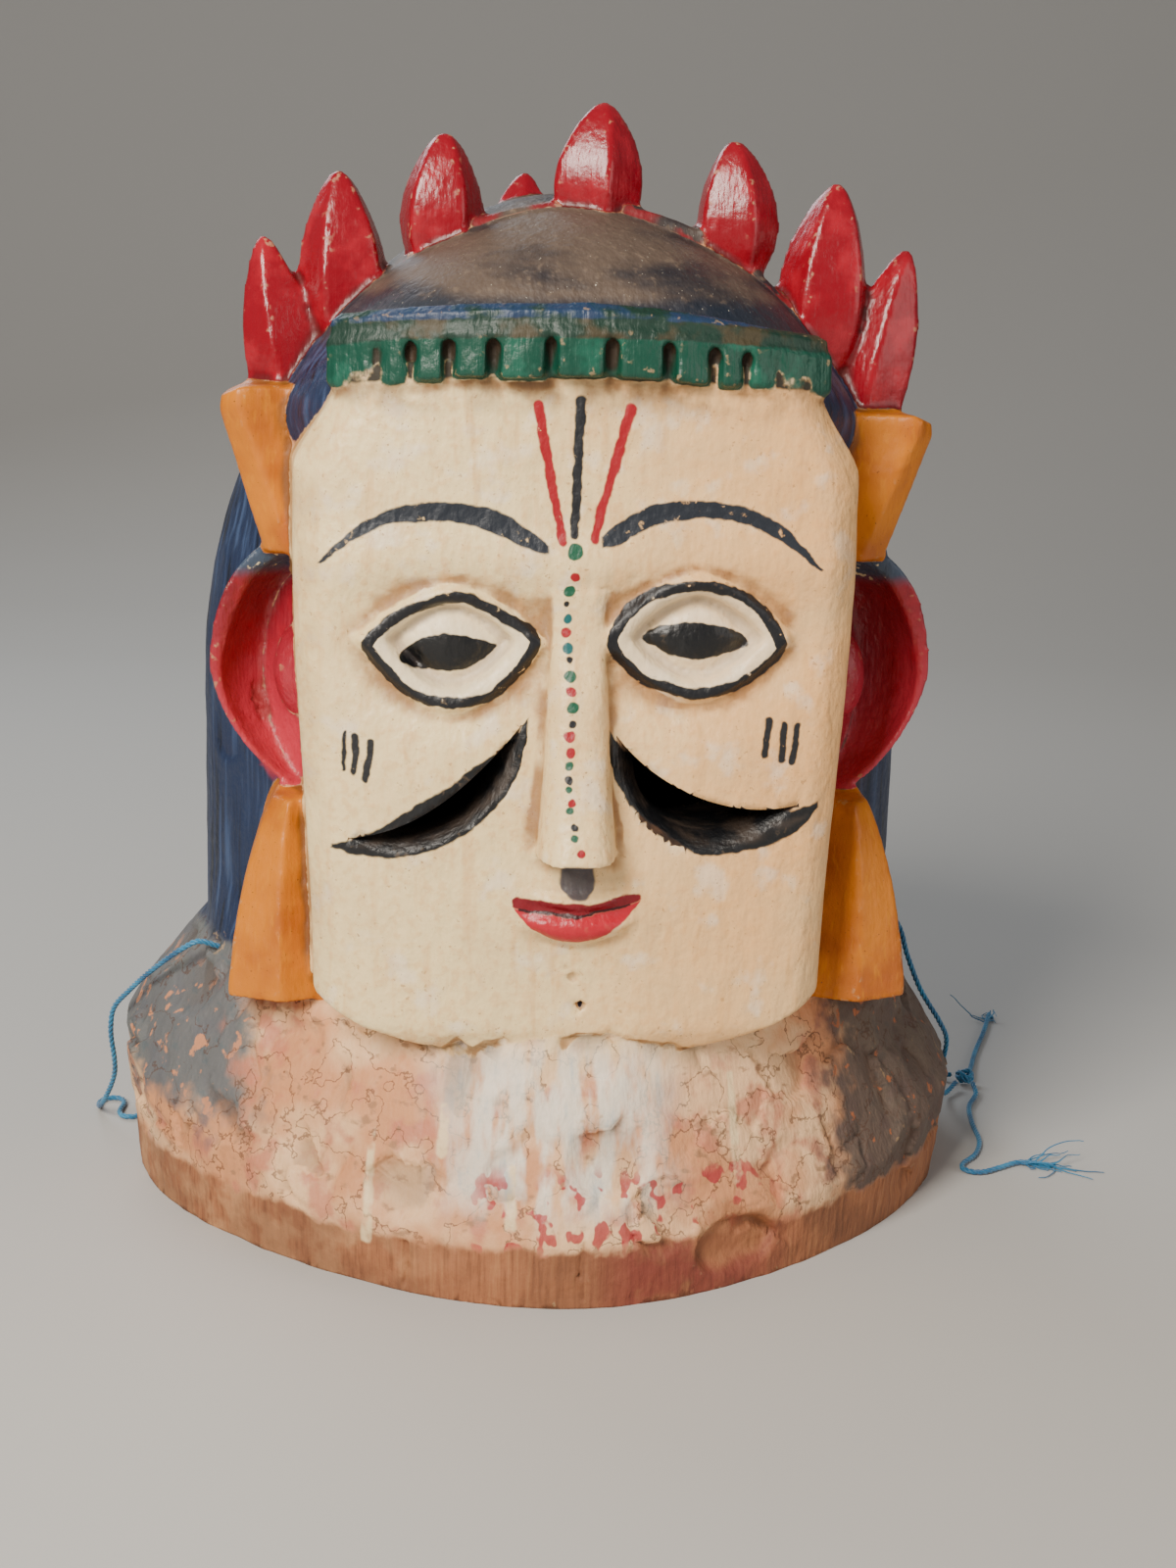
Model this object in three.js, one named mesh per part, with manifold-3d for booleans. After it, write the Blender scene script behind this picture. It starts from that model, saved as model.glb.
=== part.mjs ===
// Helmet mask carved from one block of wood: a broad collar to stand and be worn on, a hollow
// head with a flat carved face, shell ears with pendants, and a crown of lotus buds.
// Millimetres. Z is up, the face looks towards -Y, and the origin is the middle of the underside.
import * as THREE from 'three';
import { mergeVertices } from 'three/addons/utils/BufferGeometryUtils.js';
import Module from 'manifold-3d';

const wasm = await Module();
wasm.setup();

// Driving dimensions of the block
const collarWidth = 342;
const collarDepth = 280;
const rimFront = 24;        // height of the upright rim at the front
const rimSide = 50;         // and at the sides and back
const neckFront = 84;       // where the sloping collar meets the chin
const neckSide = 103;       // and the hair
const headWidth = 277;
const headDepth = 226;
const crownHeight = 381;    // top of the cap, under the buds
const budHeight = 418;      // tip of the tallest bud

// Driving dimensions of the face
const faceWidth = 190;
const faceTop = 324;
const faceFront = 115;      // face plane to the middle of the block
const faceThickness = 72;   // how far back the cheeks run
const noseReach = 22;
const noseWidth = 29;

// Wood left round the hollow, and the holes through it
const shellWall = 20;
const faceWall = 26;
const crownWall = 26;
const cordHole = 7;

// Ears and what hangs above and below them
const earReach = 134;       // rim of the ear to the middle of the block
const earHeight = 98;
const earDepth = 27;
const earThickness = 7;
const pendantHeight = 75;
const pendantReach = 127;
const hornHeight = 57;
const hornReach = 131;

// Band over the forehead
const bandHeight = 22.5;
const bandRise = 6.5;       // the band is arched up this much over the brow
const bandUneven = 5;       // and thinner at its +X end
const bandReach = 9;        // how far the blocks stand in front of the face
const blockGap = 3.4;

// Cord
const cordWidth = 2.4;
const clearance = 0.3;

const shortestEdge = 0.1;     // slivers finer than this are closed up in the finished block

const chinHeight = neckFront;
const faceHeight = faceTop - chinHeight;
const across = (share) => share * faceWidth;
const up = (share) => chinHeight + share * faceHeight;
const mix = (a, b, t) => a + (b - a) * t;
const clamp = (t) => Math.min(1, Math.max(0, t));
const smooth = (t) => clamp(t) ** 2 * (3 - 2 * clamp(t));
const bump = (t) => Math.exp(-t * t);

// Blanks: closed geometries whose points are then moved to the carved form
function shaped(geometry, place) {
  const position = geometry.attributes.position;
  for (let i = 0; i < position.count; i += 1) {
    const [x, y, z] = place(position.getX(i), position.getY(i), position.getZ(i));
    position.setXYZ(i, x, y, z);
  }
  return geometry;
}

function toSolid(geometry) {
  const bare = geometry.index ? geometry.toNonIndexed() : geometry.clone();
  bare.deleteAttribute('normal');
  bare.deleteAttribute('uv');
  const merged = mergeVertices(bare, 1e-4);
  const corners = merged.index.array;
  const kept = [];
  for (let i = 0; i < corners.length; i += 3) {
    const [a, b, c] = [corners[i], corners[i + 1], corners[i + 2]];
    if (a !== b && b !== c && c !== a) {
      kept.push(a, b, c);
    }
  }
  const mesh = new wasm.Mesh({
    numProp: 3,
    vertProperties: new Float32Array(merged.attributes.position.array),
    triVerts: new Uint32Array(kept),
  });
  const solid = new wasm.Manifold(mesh);
  return solid;
}

// place gets the way round in radians and the row number, and the share of the radius
function drum(sides, rows, place) {
  const blank = new THREE.CylinderGeometry(1, 1, 1, sides, rows);
  return toSolid(shaped(blank, (x, y, z) => {
    const row = Math.round((y + 0.5) * rows);
    return place(Math.atan2(-z, x), row, Math.min(1, Math.hypot(x, z)));
  }));
}

// place gets three numbers from 0 to 1: across, front to back, and up
function brick(columns, layers, rows, place) {
  const blank = new THREE.BoxGeometry(1, 1, 1, columns, rows, layers);
  return toSolid(shaped(blank, (x, y, z) => place(x + 0.5, 0.5 - z, y + 0.5)));
}

// place gets a direction of length 1 with Z up
function ball(around, rings, place) {
  const blank = new THREE.SphereGeometry(1, around, rings);
  return toSolid(shaped(blank, (x, y, z) => place(x, -z, y)));
}

// Collar, head and cap
// One closed loft: each station is a rounded outline with its own height at front and sides.
// The block is a little wider and its rim higher on the wearer's right, which is the -X side.
const middle = 22;          // the widest part of the head lies a little behind the origin
const headFront = -110;
const headBack = headFront + headDepth;
const domeSpring = 200;     // where the walls start to close towards the crown
const domeSteps = 8;
const rimLean = 6;          // the upright rim leans out by this much at the sides
const sideUneven = 2;
const rimUneven = 8;

// heights are [front, -X side, +X side] and halves are [-X side, +X side]
function level(heights, halves, front, back, taper, power) {
  return { heights, halves, front, back, taper, power };
}

function outline(angle, station) {
  const c = Math.cos(angle);
  const s = Math.sin(angle);
  const power = s < 0 ? station.power : 2.2;
  const taper = s < 0 ? station.taper : 0;
  const reach = s < 0 ? middle - station.front : station.back - middle;
  const half = station.halves[c < 0 ? 0 : 1];
  const x = half * Math.sign(c) * Math.abs(c) ** (2 / power) * (1 - taper * s * s);
  const y = middle + reach * Math.sign(s) * Math.abs(s) ** (2 / power);
  const side = mix(station.heights[1], station.heights[2], smooth((1 + c) / 2));
  return [x, y, mix(station.heights[0], side, smooth(1 + s))];
}

function outerStations() {
  const half = collarWidth / 2;
  const halves = [half + sideUneven, half - sideUneven];
  const front = -collarDepth / 2;
  const back = collarDepth / 2;
  const head = headWidth / 2;
  const rim = [rimFront, rimSide + rimUneven, rimSide - rimUneven];
  const neck = [neckFront, neckSide, neckSide];
  const slope = rim.map((height, i) => mix(height, neck[i], 0.5));
  const slopeHalves = [mix(halves[0], head, 0.4), mix(halves[1], head, 0.6)];
  const neckFace = -faceFront - 2;
  const list = [
    level([0, 0, 0], halves.map((h) => h - rimLean), front, back - rimLean, 0.25, 2),
    level(rim, halves, front, back, 0.25, 2),
    level(slope, slopeHalves, mix(front, neckFace, 0.45), mix(back, headBack, 0.5), 0.22, 2),
    level(neck, [head, head], neckFace, headBack, 0.15, 2),
    level(neck.map((z) => z + 24), [head, head], headFront, headBack, 0.55, 2),
    level([160, 165, 165], [head, head], headFront, headBack, 0.66, 2),
  ];
  for (let i = 0; i < domeSteps; i += 1) {
    const q = Math.sin((i / domeSteps) * Math.PI * 0.5 + 0.05 * (i > 0));
    const z = mix(domeSpring, crownHeight, q);
    const side = head * (1 - q * q) ** 0.56;
    const frontHere = mix(middle, headFront - 2, Math.sqrt(1 - q ** 9));
    const backHere = mix(middle, headBack, Math.sqrt(1 - q * q));
    const taper = 0.66 * (1 - smooth((z - 265) / 50));
    const power = mix(2, 3.6, smooth((z - 270) / 50) * (1 - smooth((z - 345) / 36)));
    list.push(level([z, z, z], [side, side], frontHere, backHere, taper, power));
  }
  const tip = crownHeight;
  list.push(level([tip, tip, tip], [5, 5], middle - 12, middle + 4, 0, 2));
  return list;
}

const hollowSteps = 6;
const hollowSpring = 190;

function innerStations() {
  const half = collarWidth / 2 - shellWall - rimLean;
  const front = -collarDepth / 2 + shellWall + 4;
  const back = collarDepth / 2 - shellWall;
  const head = headWidth / 2 - shellWall;
  const faceSide = -faceFront + faceWall;
  const backSide = headBack - shellWall;
  const below = -5;
  const lip = [rimFront, rimSide, rimSide].map((z) => 0.7 * z);
  const list = [
    level([below, below, below], [half, half], front, back, 0.3, 2),
    level(lip, [half, half], front, back, 0.3, 2),
    level([neckFront * 0.8, neckSide, neckSide], [head, head], faceSide, backSide, 0.4, 2),
    level([150, 150, 150], [head, head], faceSide, backSide, 0.55, 2),
  ];
  for (let i = 0; i < hollowSteps; i += 1) {
    const q = Math.sin((i / hollowSteps) * Math.PI * 0.5 + 0.05 * (i > 0));
    const z = mix(hollowSpring, crownHeight - crownWall, q);
    const side = head * (1 - q * q) ** 0.56;
    const frontHere = mix(middle, faceSide, Math.sqrt(1 - q ** 6));
    const backHere = mix(middle, backSide, Math.sqrt(1 - q * q));
    list.push(level([z, z, z], [side, side], frontHere, backHere, mix(0.55, 0, q), 2));
  }
  return list;
}

function loft(stations, sides) {
  return drum(sides, stations.length - 1, (angle, row, share) => {
    const [x, y, z] = outline(angle, stations[row]);
    return [x * share, mix(middle, y, share), z];
  });
}

// Face slab with its relief
function faceHalf(z) {
  const t = clamp((z - chinHeight) / faceHeight);
  return (faceWidth / 2) * (0.96 + 0.07 * smooth(t / 0.7) - 0.16 * smooth((t - 0.84) / 0.16));
}

function faceBase(x) {
  const s = Math.abs(2 * x / faceWidth);
  return chinHeight + faceHeight * 0.1 * s ** 3;
}

const eyes = [
  { x: -0.229, z: 0.628, half: 0.155, above: 0.070, below: 0.091, pupil: [-0.236, 0.612, 0.085, 0.026] },
  { x: 0.216, z: 0.636, half: 0.162, above: 0.082, below: 0.082, pupil: [0.216, 0.630, 0.098, 0.025] },
];
const socketDepth = 6;
const browRise = 3.5;
const muzzleRise = 4.5;
const cheekRise = 3;

function relief(x, z) {
  const s = x / faceHalf(z);
  const t = (z - chinHeight) / faceHeight;
  let out = -8 * Math.abs(s) ** 3 - 8 * clamp((Math.abs(s) - 0.86) / 0.14) ** 2;
  out += browRise * bump((t - 0.735) / 0.045) * (1 - 0.5 * s * s);
  out += cheekRise * bump((Math.abs(s) - 0.5) / 0.3) * bump((t - 0.42) / 0.14);
  out += muzzleRise * bump((x - 2) / across(0.19)) * bump((t - 0.245) / 0.085);
  out -= 5 * smooth((0.05 - t) / 0.05);
  for (const eye of eyes) {
    const dx = (x - across(eye.x)) / across(eye.half * 1.3);
    const dz = (z - up(eye.z)) / (faceHeight * (eye.above + eye.below) * 0.75);
    out -= socketDepth * smooth(1.35 - Math.hypot(dx, dz));
  }
  return out;
}

const facePoint = (x, z) => -faceFront - relief(x, z);

function makeFace() {
  const columns = 24;
  const rows = 29;
  return brick(columns, 1, rows, (u, v, w) => {
    const side = 2 * u - 1;
    const reach = Math.sign(side) * (1 - (1 - Math.abs(side)) ** 1.15);
    const top = faceTop + bandRise * (1 - side * side);
    const x = reach * faceHalf(mix(chinHeight, top, w));
    const z = mix(faceBase(x), top, w);
    const y = mix(facePoint(x, z), -faceFront + faceThickness, v);
    return [x * (1 + 0.03 * v), y, z];
  });
}

function makeNose() {
  const top = up(0.70);
  const bottom = up(0.32);
  return brick(6, 1, 4, (u, v, w) => {
    const half = mix(noseWidth / 2, noseWidth * 0.3, w ** 0.8);
    const flat = Math.sin(Math.PI * u) ** 0.4;
    const z = mix(bottom, top, w);
    const x = (2 * u - 1) * half;
    const front = facePoint(0, z) - mix(noseReach, 2, w ** 0.9) * flat;
    return [x, v < 0.5 ? front : -faceFront + 16, z];
  });
}

// Almond of a pair of arcs that meet in points, grown or shrunk by share
function almond(eye, share) {
  const shape = new THREE.Shape();
  const steps = 10;
  const half = across(eye.half) * share;
  for (let i = 0; i < 2 * steps; i += 1) {
    const s = i < steps ? -1 + (2 * i) / steps : 3 - (2 * i) / steps;
    const high = (i < steps ? eye.above : -eye.below) * faceHeight * share;
    const x = across(eye.x) + s * half;
    const z = up(eye.z) + high * (1 - Math.abs(s) ** 1.8);
    if (i === 0) {
      shape.moveTo(x, z);
    } else {
      shape.lineTo(x, z);
    }
  }
  return shape;
}

function almondBlock(eye, share, front, depth) {
  const blank = new THREE.ExtrudeGeometry(almond(eye, share), { depth, bevelEnabled: false });
  return toSolid(shaped(blank, (x, z, d) => {
    const fall = 4 * ((x - across(eye.x)) / across(eye.half)) ** 2;
    return [x, front + fall + depth - d, z];
  }));
}

function makeEyelids(eye) {
  const front = facePoint(across(eye.x), up(eye.z)) - 5;
  return almondBlock(eye, 1.02, front, 12).subtract(almondBlock(eye, 0.78, front - 5, 20));
}

function makeEyeball(eye) {
  const front = facePoint(across(eye.x), up(eye.z));
  const [px, pz, ph] = eye.pupil;
  return ball(12, 6, (x, y, z) => [
    across(px) + x * across(ph) * 1.5,
    front + 2 + y * 6,
    up(pz) + z * faceHeight * 0.058,
  ]);
}

function makeLips() {
  const smile = 4;
  const lipHalf = across(0.118);
  const centre = across(0.01);
  const lip = (height, rise, reach) => ball(14, 6, (x, y, z) => {
    const px = centre + x * lipHalf;
    const pz = up(height) + z * rise + smile * x * x;
    return [px, facePoint(px, pz) + 2 + y * reach, pz];
  });
  return [lip(0.212, 6, 6), lip(0.248, 3.6, 5)];
}

// Crescent slits: the wearer looks out through them, beside the nose
const slits = [
  {
    outer: [-0.44, 0.328], inner: [-0.09, 0.516],
    upper: [[-0.31, 0.345], [-0.22, 0.392]], lower: [[-0.337, 0.292], [-0.116, 0.329]],
  },
  {
    outer: [0.451, 0.388], inner: [0.065, 0.500],
    upper: [[0.29, 0.367], [0.147, 0.417]], lower: [[0.221, 0.241], [0.047, 0.367]],
  },
];
const slitShrink = 0.7;
const slitBevel = 13;
const slitReach = 70;       // from the face plane to well inside the hollow

function slitOutline(slit) {
  const at = ([x, z]) => new THREE.Vector2(across(x), up(z));
  const low = new THREE.CubicBezierCurve(at(slit.outer), at(slit.lower[0]), at(slit.lower[1]), at(slit.inner));
  const high = new THREE.CubicBezierCurve(at(slit.inner), at(slit.upper[1]), at(slit.upper[0]), at(slit.outer));
  return [...low.getPoints(8).slice(0, 8), ...high.getPoints(8).slice(0, 8)];
}

function makeSlitCutter(slit) {
  const points = slitOutline(slit);
  const centre = points.reduce((sum, p) => sum.add(p), new THREE.Vector2()).divideScalar(points.length);
  const blank = new THREE.ExtrudeGeometry(new THREE.Shape(points), { depth: 3, steps: 3, bevelEnabled: false });
  const face = facePoint(centre.x, centre.y);
  const depths = [face + slitReach, face + slitBevel, face - 1, face - 20];
  const shares = [slitShrink, slitShrink, 1, 1.02];
  return toSolid(shaped(blank, (x, z, d) => {
    const i = Math.round(d);
    return [mix(centre.x, x, shares[i]), depths[i], mix(centre.y, z, shares[i])];
  }));
}

// Band of blocks over the forehead
const blockWidths = [15, 7, 10, 10, 12, 14.5, 16, 14.5, 12.5, 8.5, 10, 11, 14.5];
const bandHalf = 0.42 * faceWidth;
const bandTurn = 1.05;      // half the angle of the arc that the band follows
const bandSweep = 38;       // depth of the whole arc
const bandBack = -62;
const bandFall = 12;        // the top of the band slopes back into the cap

function bandPoint(angle, reach) {
  const wide = bandHalf / Math.sin(bandTurn) + reach;
  const centre = -faceFront + bandSweep;
  return [wide * Math.sin(angle), centre - (bandSweep + reach) * Math.cos(angle)];
}

// top gets how far back a point lies, from 0 to 1
function bandPiece(from, to, outside, bottom, top, columns) {
  return brick(columns, 1, 1, (u, v, w) => {
    const [x, y] = bandPoint(mix(from, to, u), outside(w));
    const z = mix(bottom, top(v), w);
    const arch = bandRise * (1 - (x / (bandHalf + bandReach)) ** 2);
    const uneven = bandUneven * clamp((z - faceTop) / bandHeight) * smooth(x / bandHalf);
    return [x * (1 - 0.12 * v), mix(y, bandBack, v), z + arch - uneven];
  });
}

function makeBand() {
  const bottom = faceTop - 5;
  const split = bottom + bandHeight * 0.58;
  const top = bottom + bandHeight;
  const strip = () => bandReach * 0.4;
  const moulding = (w) => bandReach * 0.9 - 4 * w;
  const parts = [
    bandPiece(-bandTurn, bandTurn, strip, bottom, () => split, 16),
    bandPiece(-bandTurn, bandTurn, moulding, split - 1, (v) => top - bandFall * v, 16),
  ];
  const wide = blockWidths.reduce((sum, w) => sum + w, 0) + blockGap * (blockWidths.length - 1);
  const turnPerLength = (2 * bandTurn) / wide;
  let start = -bandTurn;
  for (const width of blockWidths) {
    const end = start + width * turnPerLength;
    parts.push(bandPiece(start, end, () => bandReach, bottom - 1, () => split + 1, 1));
    start = end + blockGap * turnPerLength;
  }
  return parts;
}

// Crown: a rib over the cap from ear to ear, and the lotus buds that stand on it
const ribFront = -52;
const ribBack = -26;
const crownShift = 6;
const budPairs = [
  { foot: [54, 352], tip: [52, budHeight - 12], wide: 15.5 },
  { foot: [86, 318], tip: [90, budHeight - 26], wide: 17 },
  { foot: [100, 288], tip: [117, budHeight - 49], wide: 14.5 },
];
const centreBud = { foot: [0, 366], tip: [5, budHeight], wide: 17 };
const backBud = { foot: [-20, 360], tip: [-20, crownHeight + 14], wide: 11 };
const backBudAt = 32;

function makeBud(bud, side, depth) {
  const foot = new THREE.Vector2(crownShift + side * bud.foot[0], bud.foot[1]);
  const tip = new THREE.Vector2(crownShift + side * bud.tip[0], bud.tip[1]);
  const along = tip.clone().sub(foot);
  const cross = new THREE.Vector2(along.y, -along.x).normalize();
  return ball(9, 6, (x, y, z) => {
    const t = (1 + z) / 2;
    const fat = bud.wide * (1.14 - 0.45 * t ** 1.6);
    const px = foot.x + along.x * t + cross.x * x * fat;
    const pz = foot.y + along.y * t + cross.y * x * fat;
    return [px, depth + y * fat * 0.85, pz];
  });
}

function makeCrown() {
  const depth = (ribFront + ribBack) / 2;
  const parts = [makeBud(centreBud, 1, depth), makeBud(backBud, 1, backBudAt)];
  for (const bud of budPairs) {
    parts.push(makeBud(bud, -1, depth), makeBud(bud, 1, depth));
  }
  const ribTurn = 1.25;
  const rib = brick(16, 1, 1, (u, v, w) => {
    const angle = mix(-ribTurn, ribTurn, u);
    const reach = mix(-24, 0, w);
    const x = 3 + (103 + reach) * Math.sin(angle);
    const z = 262 + (crownHeight - 262 + 2 + reach) * Math.cos(angle) ** 0.85;
    return [x, mix(ribFront + 5, ribBack, v), z];
  });
  parts.push(rib);
  return parts;
}

// Ears: half shells that open forwards, with the small inner lobe beside the cheek
const earMiddle = 214;
const earShift = 3;         // ears and boards sit a little towards +X
const earInner = 72;
const earFront = -52;

function earBall(side, grow, depth, forward) {
  const half = (earReach - earInner) / 2 + grow;
  const centre = (earReach + earInner) / 2;
  return ball(14, 9, (x, y, z) => {
    const low = clamp(-z);
    const px = centre - 9 * low * low + side * x * half * (1 - 0.22 * low);
    return [side * px + earShift, earFront + forward + y * depth, earMiddle + z * (earHeight / 2 + grow)];
  });
}

function makeEar(side) {
  const shell = earBall(side, 0, earDepth, 0);
  const hollow = earBall(side, -earThickness, earDepth - earThickness, -1);
  const cover = brick(1, 1, 1, (u, v, w) => [
    side * mix(earInner - 20, earReach + 20, side > 0 ? u : 1 - u),
    mix(earFront - earDepth - 10, earFront, v),
    mix(earMiddle - earHeight, earMiddle + earHeight, w),
  ]);
  const lobe = ball(8, 6, (x, y, z) => [
    side * (earInner + 29 + side * x * 10) + earShift,
    earFront + 9 + y * 11,
    earMiddle - 2 + z * 17,
  ]);
  return shell.subtract(hollow).subtract(cover).add(lobe);
}

// Pendant below the ear and horn above it: tapered boards with a ridge down the front
function makePendant(side) {
  const top = earMiddle - earHeight / 2 + 4;
  return brick(2, 1, 4, (u, v, w) => {
    const t = 1 - w;
    const inner = 97 - 10 * t;
    const outer = mix(pendantReach - 17, pendantReach, t ** 0.8);
    const ridge = u === 0.5 ? 9 : 0;
    const x = mix(inner, outer, side > 0 ? u : 1 - u);
    const y = mix(-64 - 8 * t - ridge, -34, v);
    return [side * x + earShift, y, mix(top - pendantHeight, top, w)];
  });
}

const hornUneven = 3;       // the -X horn is carved taller than the other

function makeHorn(side) {
  const bottom = earMiddle + earHeight / 2 - 6;
  return brick(2, 1, 4, (u, v, w) => {
    const inner = 90;
    const outer = mix(hornReach - 18, hornReach, w ** 1.3);
    const share = side > 0 ? u : 1 - u;
    const ridge = u === 0.5 ? 7 : 0;
    const x = mix(inner, outer, u === 0.5 ? mix(0.6, 0.85, w) : share);
    const y = mix(-58 - 3 * w - ridge, -36, v);
    return [side * x + earShift, y, mix(bottom, bottom + hornHeight - hornUneven * side, w)];
  });
}

// Tie cord: a blue twisted line through a hole in each side of the collar. Its route is chosen
// by hand: down over the rim, along the floor behind the block, and to a knot at the back right.
const leftHole = new THREE.Vector3(-134.5, -18, 98.5);
const leftOutwards = new THREE.Vector3(-0.86, -0.24, 0.45).normalize();
const rightHole = new THREE.Vector3(139.5, 25, 97);
const rightOutwards = new THREE.Vector3(0.9, 0, 0.43).normalize();
const holeLength = 80;
const floorLine = cordWidth / 2 + clearance;
const knot = new THREE.Vector3(195, 87, 4.2);

function makeHoleCutter(at, direction) {
  const turn = new THREE.Quaternion().setFromUnitVectors(new THREE.Vector3(0, 1, 0), direction);
  const blank = new THREE.CylinderGeometry(cordHole / 2, cordHole / 2, holeLength, 12);
  blank.applyQuaternion(turn).translate(at.x, at.y, at.z);
  return toSolid(blank);
}

const routes = {
  tie_cord_left: {
    steps: 42,
    points: [
      [-127, -16, 94.5], [-133, -17.6, 97.6], [-139, -18.5, 99.4], [-145, -16, 96],
      [-159, -4, 83], [-169, 9, 71], [-177, 18, 60], [-179, 22, 50], [-179, 32, 28],
      [-185.5, 46, 10], [-189.3, 58, 2.8], [-189.9, 66, floorLine], [-187.3, 70.6, floorLine],
      [-182.1, 70.6, floorLine], [-179.6, 66, floorLine], [-180, 53.5, floorLine],
      [-177.8, 49, floorLine], [-173, 48.4, floorLine], [-169.8, 52.4, floorLine],
      [-168.5, 66, floorLine],
      [-161, 96, floorLine], [-136, 128, floorLine], [-92, 147, floorLine],
      [-40, 155, floorLine], [20, 154, floorLine], [80, 149, floorLine],
      [128, 134, floorLine], [160, 113, floorLine], [180, 97, 2], [189.5, 90.5, 3.6],
    ],
  },
  tie_cord_right: {
    steps: 13,
    points: [
      [132, 24, 93.5], [138.5, 25, 96.5], [143.5, 25.5, 97.3], [147.5, 26, 93],
      [152, 27, 80], [159, 29, 64], [168.5, 32, 49], [173, 36, 40], [173.5, 44, 24],
      [176, 57, 10], [182, 69, 2.8], [189.5, 80.6, 3.6],
    ],
  },
  tie_cord_tail: {
    steps: 16,
    points: [
      [197, 80, 3.6], [196.5, 71, 2], [190, 56, floorLine], [186.5, 36, floorLine],
      [184.5, 14, floorLine], [179, -1, floorLine], [171.8, -10.5, floorLine],
      [170.6, -15.2, floorLine], [173.4, -19, floorLine], [178.2, -19.4, floorLine],
      [186, -15, floorLine], [196, -9.4, floorLine], [209, -13, floorLine],
    ],
  },
  tie_cord_end: {
    steps: 7,
    points: [
      [198, 93.6, 3.8], [201.5, 103, 2.2], [209, 126, floorLine], [220, 155, floorLine],
      [230, 184, floorLine],
    ],
  },
};

// A curve whose steps lie closer where its points do, so that small bends stay round
class Route extends THREE.CatmullRomCurve3 {
  getSpacedPoints(count) {
    return this.getPoints(count);
  }

  getTangentAt(share) {
    return this.getTangent(share);
  }
}

function makeCord(route) {
  const points = route.points.map(([x, y, z]) => new THREE.Vector3(x, y, z));
  const curve = new Route(points, false, 'centripetal');
  const section = new THREE.Shape();
  section.absarc(0, 0, cordWidth / 2, 0, 2 * Math.PI);
  return new THREE.ExtrudeGeometry(section, { steps: route.steps, extrudePath: curve, curveSegments: 4 });
}

function makeKnot() {
  return shaped(new THREE.SphereGeometry(1, 10, 7), (x, y, z) => [
    knot.x + 5.2 * x,
    knot.y - 5.2 * z,
    knot.z + 3.9 * y,
  ]);
}

function makeMask() {
  let body = loft(outerStations(), 40);
  const parts = [makeFace(), makeNose(), ...makeLips(), ...makeBand(), ...makeCrown()];
  for (const side of [-1, 1]) {
    parts.push(makeEar(side), makePendant(side), makeHorn(side));
  }
  for (const eye of eyes) {
    parts.push(makeEyelids(eye), makeEyeball(eye));
  }
  for (const part of parts) {
    body = body.add(part);
  }
  body = body.subtract(loft(innerStations(), 24));
  for (const slit of slits) {
    body = body.subtract(makeSlitCutter(slit));
  }
  body = body.subtract(makeHoleCutter(rightHole, rightOutwards));
  body = body.subtract(makeHoleCutter(leftHole, leftOutwards));
  return body.simplify(shortestEdge);
}

function toGeometry(solid) {
  const mesh = solid.getMesh();
  const geometry = new THREE.BufferGeometry();
  geometry.setAttribute('position', new THREE.BufferAttribute(mesh.vertProperties, 3));
  geometry.setIndex(new THREE.BufferAttribute(mesh.triVerts, 1));
  return geometry;
}

const group = new THREE.Group();

function addPiece(name, geometry, colour, roughness) {
  const material = new THREE.MeshStandardMaterial({ color: colour, roughness, metalness: 0 });
  const piece = new THREE.Mesh(geometry, material);
  piece.name = name;
  group.add(piece);
}

addPiece('mask', toGeometry(makeMask()), 0xe8cfa6, 0.6);
for (const [name, route] of Object.entries(routes)) {
  addPiece(name, makeCord(route), 0x1f7fc0, 0.5);
}
addPiece('cord_knot', makeKnot(), 0x1f7fc0, 0.5);

export default group;
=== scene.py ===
import math

import bmesh
import bpy
import numpy as np
from mathutils import Matrix, Vector, noise
from mathutils.bvhtree import BVHTree


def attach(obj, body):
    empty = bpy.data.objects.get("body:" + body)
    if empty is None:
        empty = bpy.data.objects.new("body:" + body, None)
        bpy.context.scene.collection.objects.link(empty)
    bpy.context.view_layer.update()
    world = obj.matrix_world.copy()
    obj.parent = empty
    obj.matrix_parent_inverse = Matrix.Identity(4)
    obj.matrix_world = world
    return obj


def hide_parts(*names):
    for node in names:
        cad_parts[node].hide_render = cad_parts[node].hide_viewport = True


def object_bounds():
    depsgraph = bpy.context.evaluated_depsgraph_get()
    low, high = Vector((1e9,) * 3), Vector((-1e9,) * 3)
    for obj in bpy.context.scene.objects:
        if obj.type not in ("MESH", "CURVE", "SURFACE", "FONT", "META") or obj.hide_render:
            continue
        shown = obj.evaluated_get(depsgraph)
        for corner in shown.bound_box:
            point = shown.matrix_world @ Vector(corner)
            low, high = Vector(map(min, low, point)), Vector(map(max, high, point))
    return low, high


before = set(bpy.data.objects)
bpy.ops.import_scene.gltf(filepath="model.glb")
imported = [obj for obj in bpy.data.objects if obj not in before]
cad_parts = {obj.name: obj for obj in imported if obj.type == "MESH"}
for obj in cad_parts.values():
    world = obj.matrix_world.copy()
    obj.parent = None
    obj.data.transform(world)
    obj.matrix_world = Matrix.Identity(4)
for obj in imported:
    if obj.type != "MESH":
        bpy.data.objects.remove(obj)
cad_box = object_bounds()

# Camera, light and floor
# The mask is seen from a little above the eyes, a touch to its left, on a pale floor.
CAMERA_PLACE = (-0.058, -0.9087, 0.367)
CAMERA_DOWN = math.radians(12.85)
CAMERA_TURN = math.radians(4.5)
CAMERA_ROLL = math.radians(1.35)
FOCAL_LENGTH = 54.0
LONG_SIDE = 36.0

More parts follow.
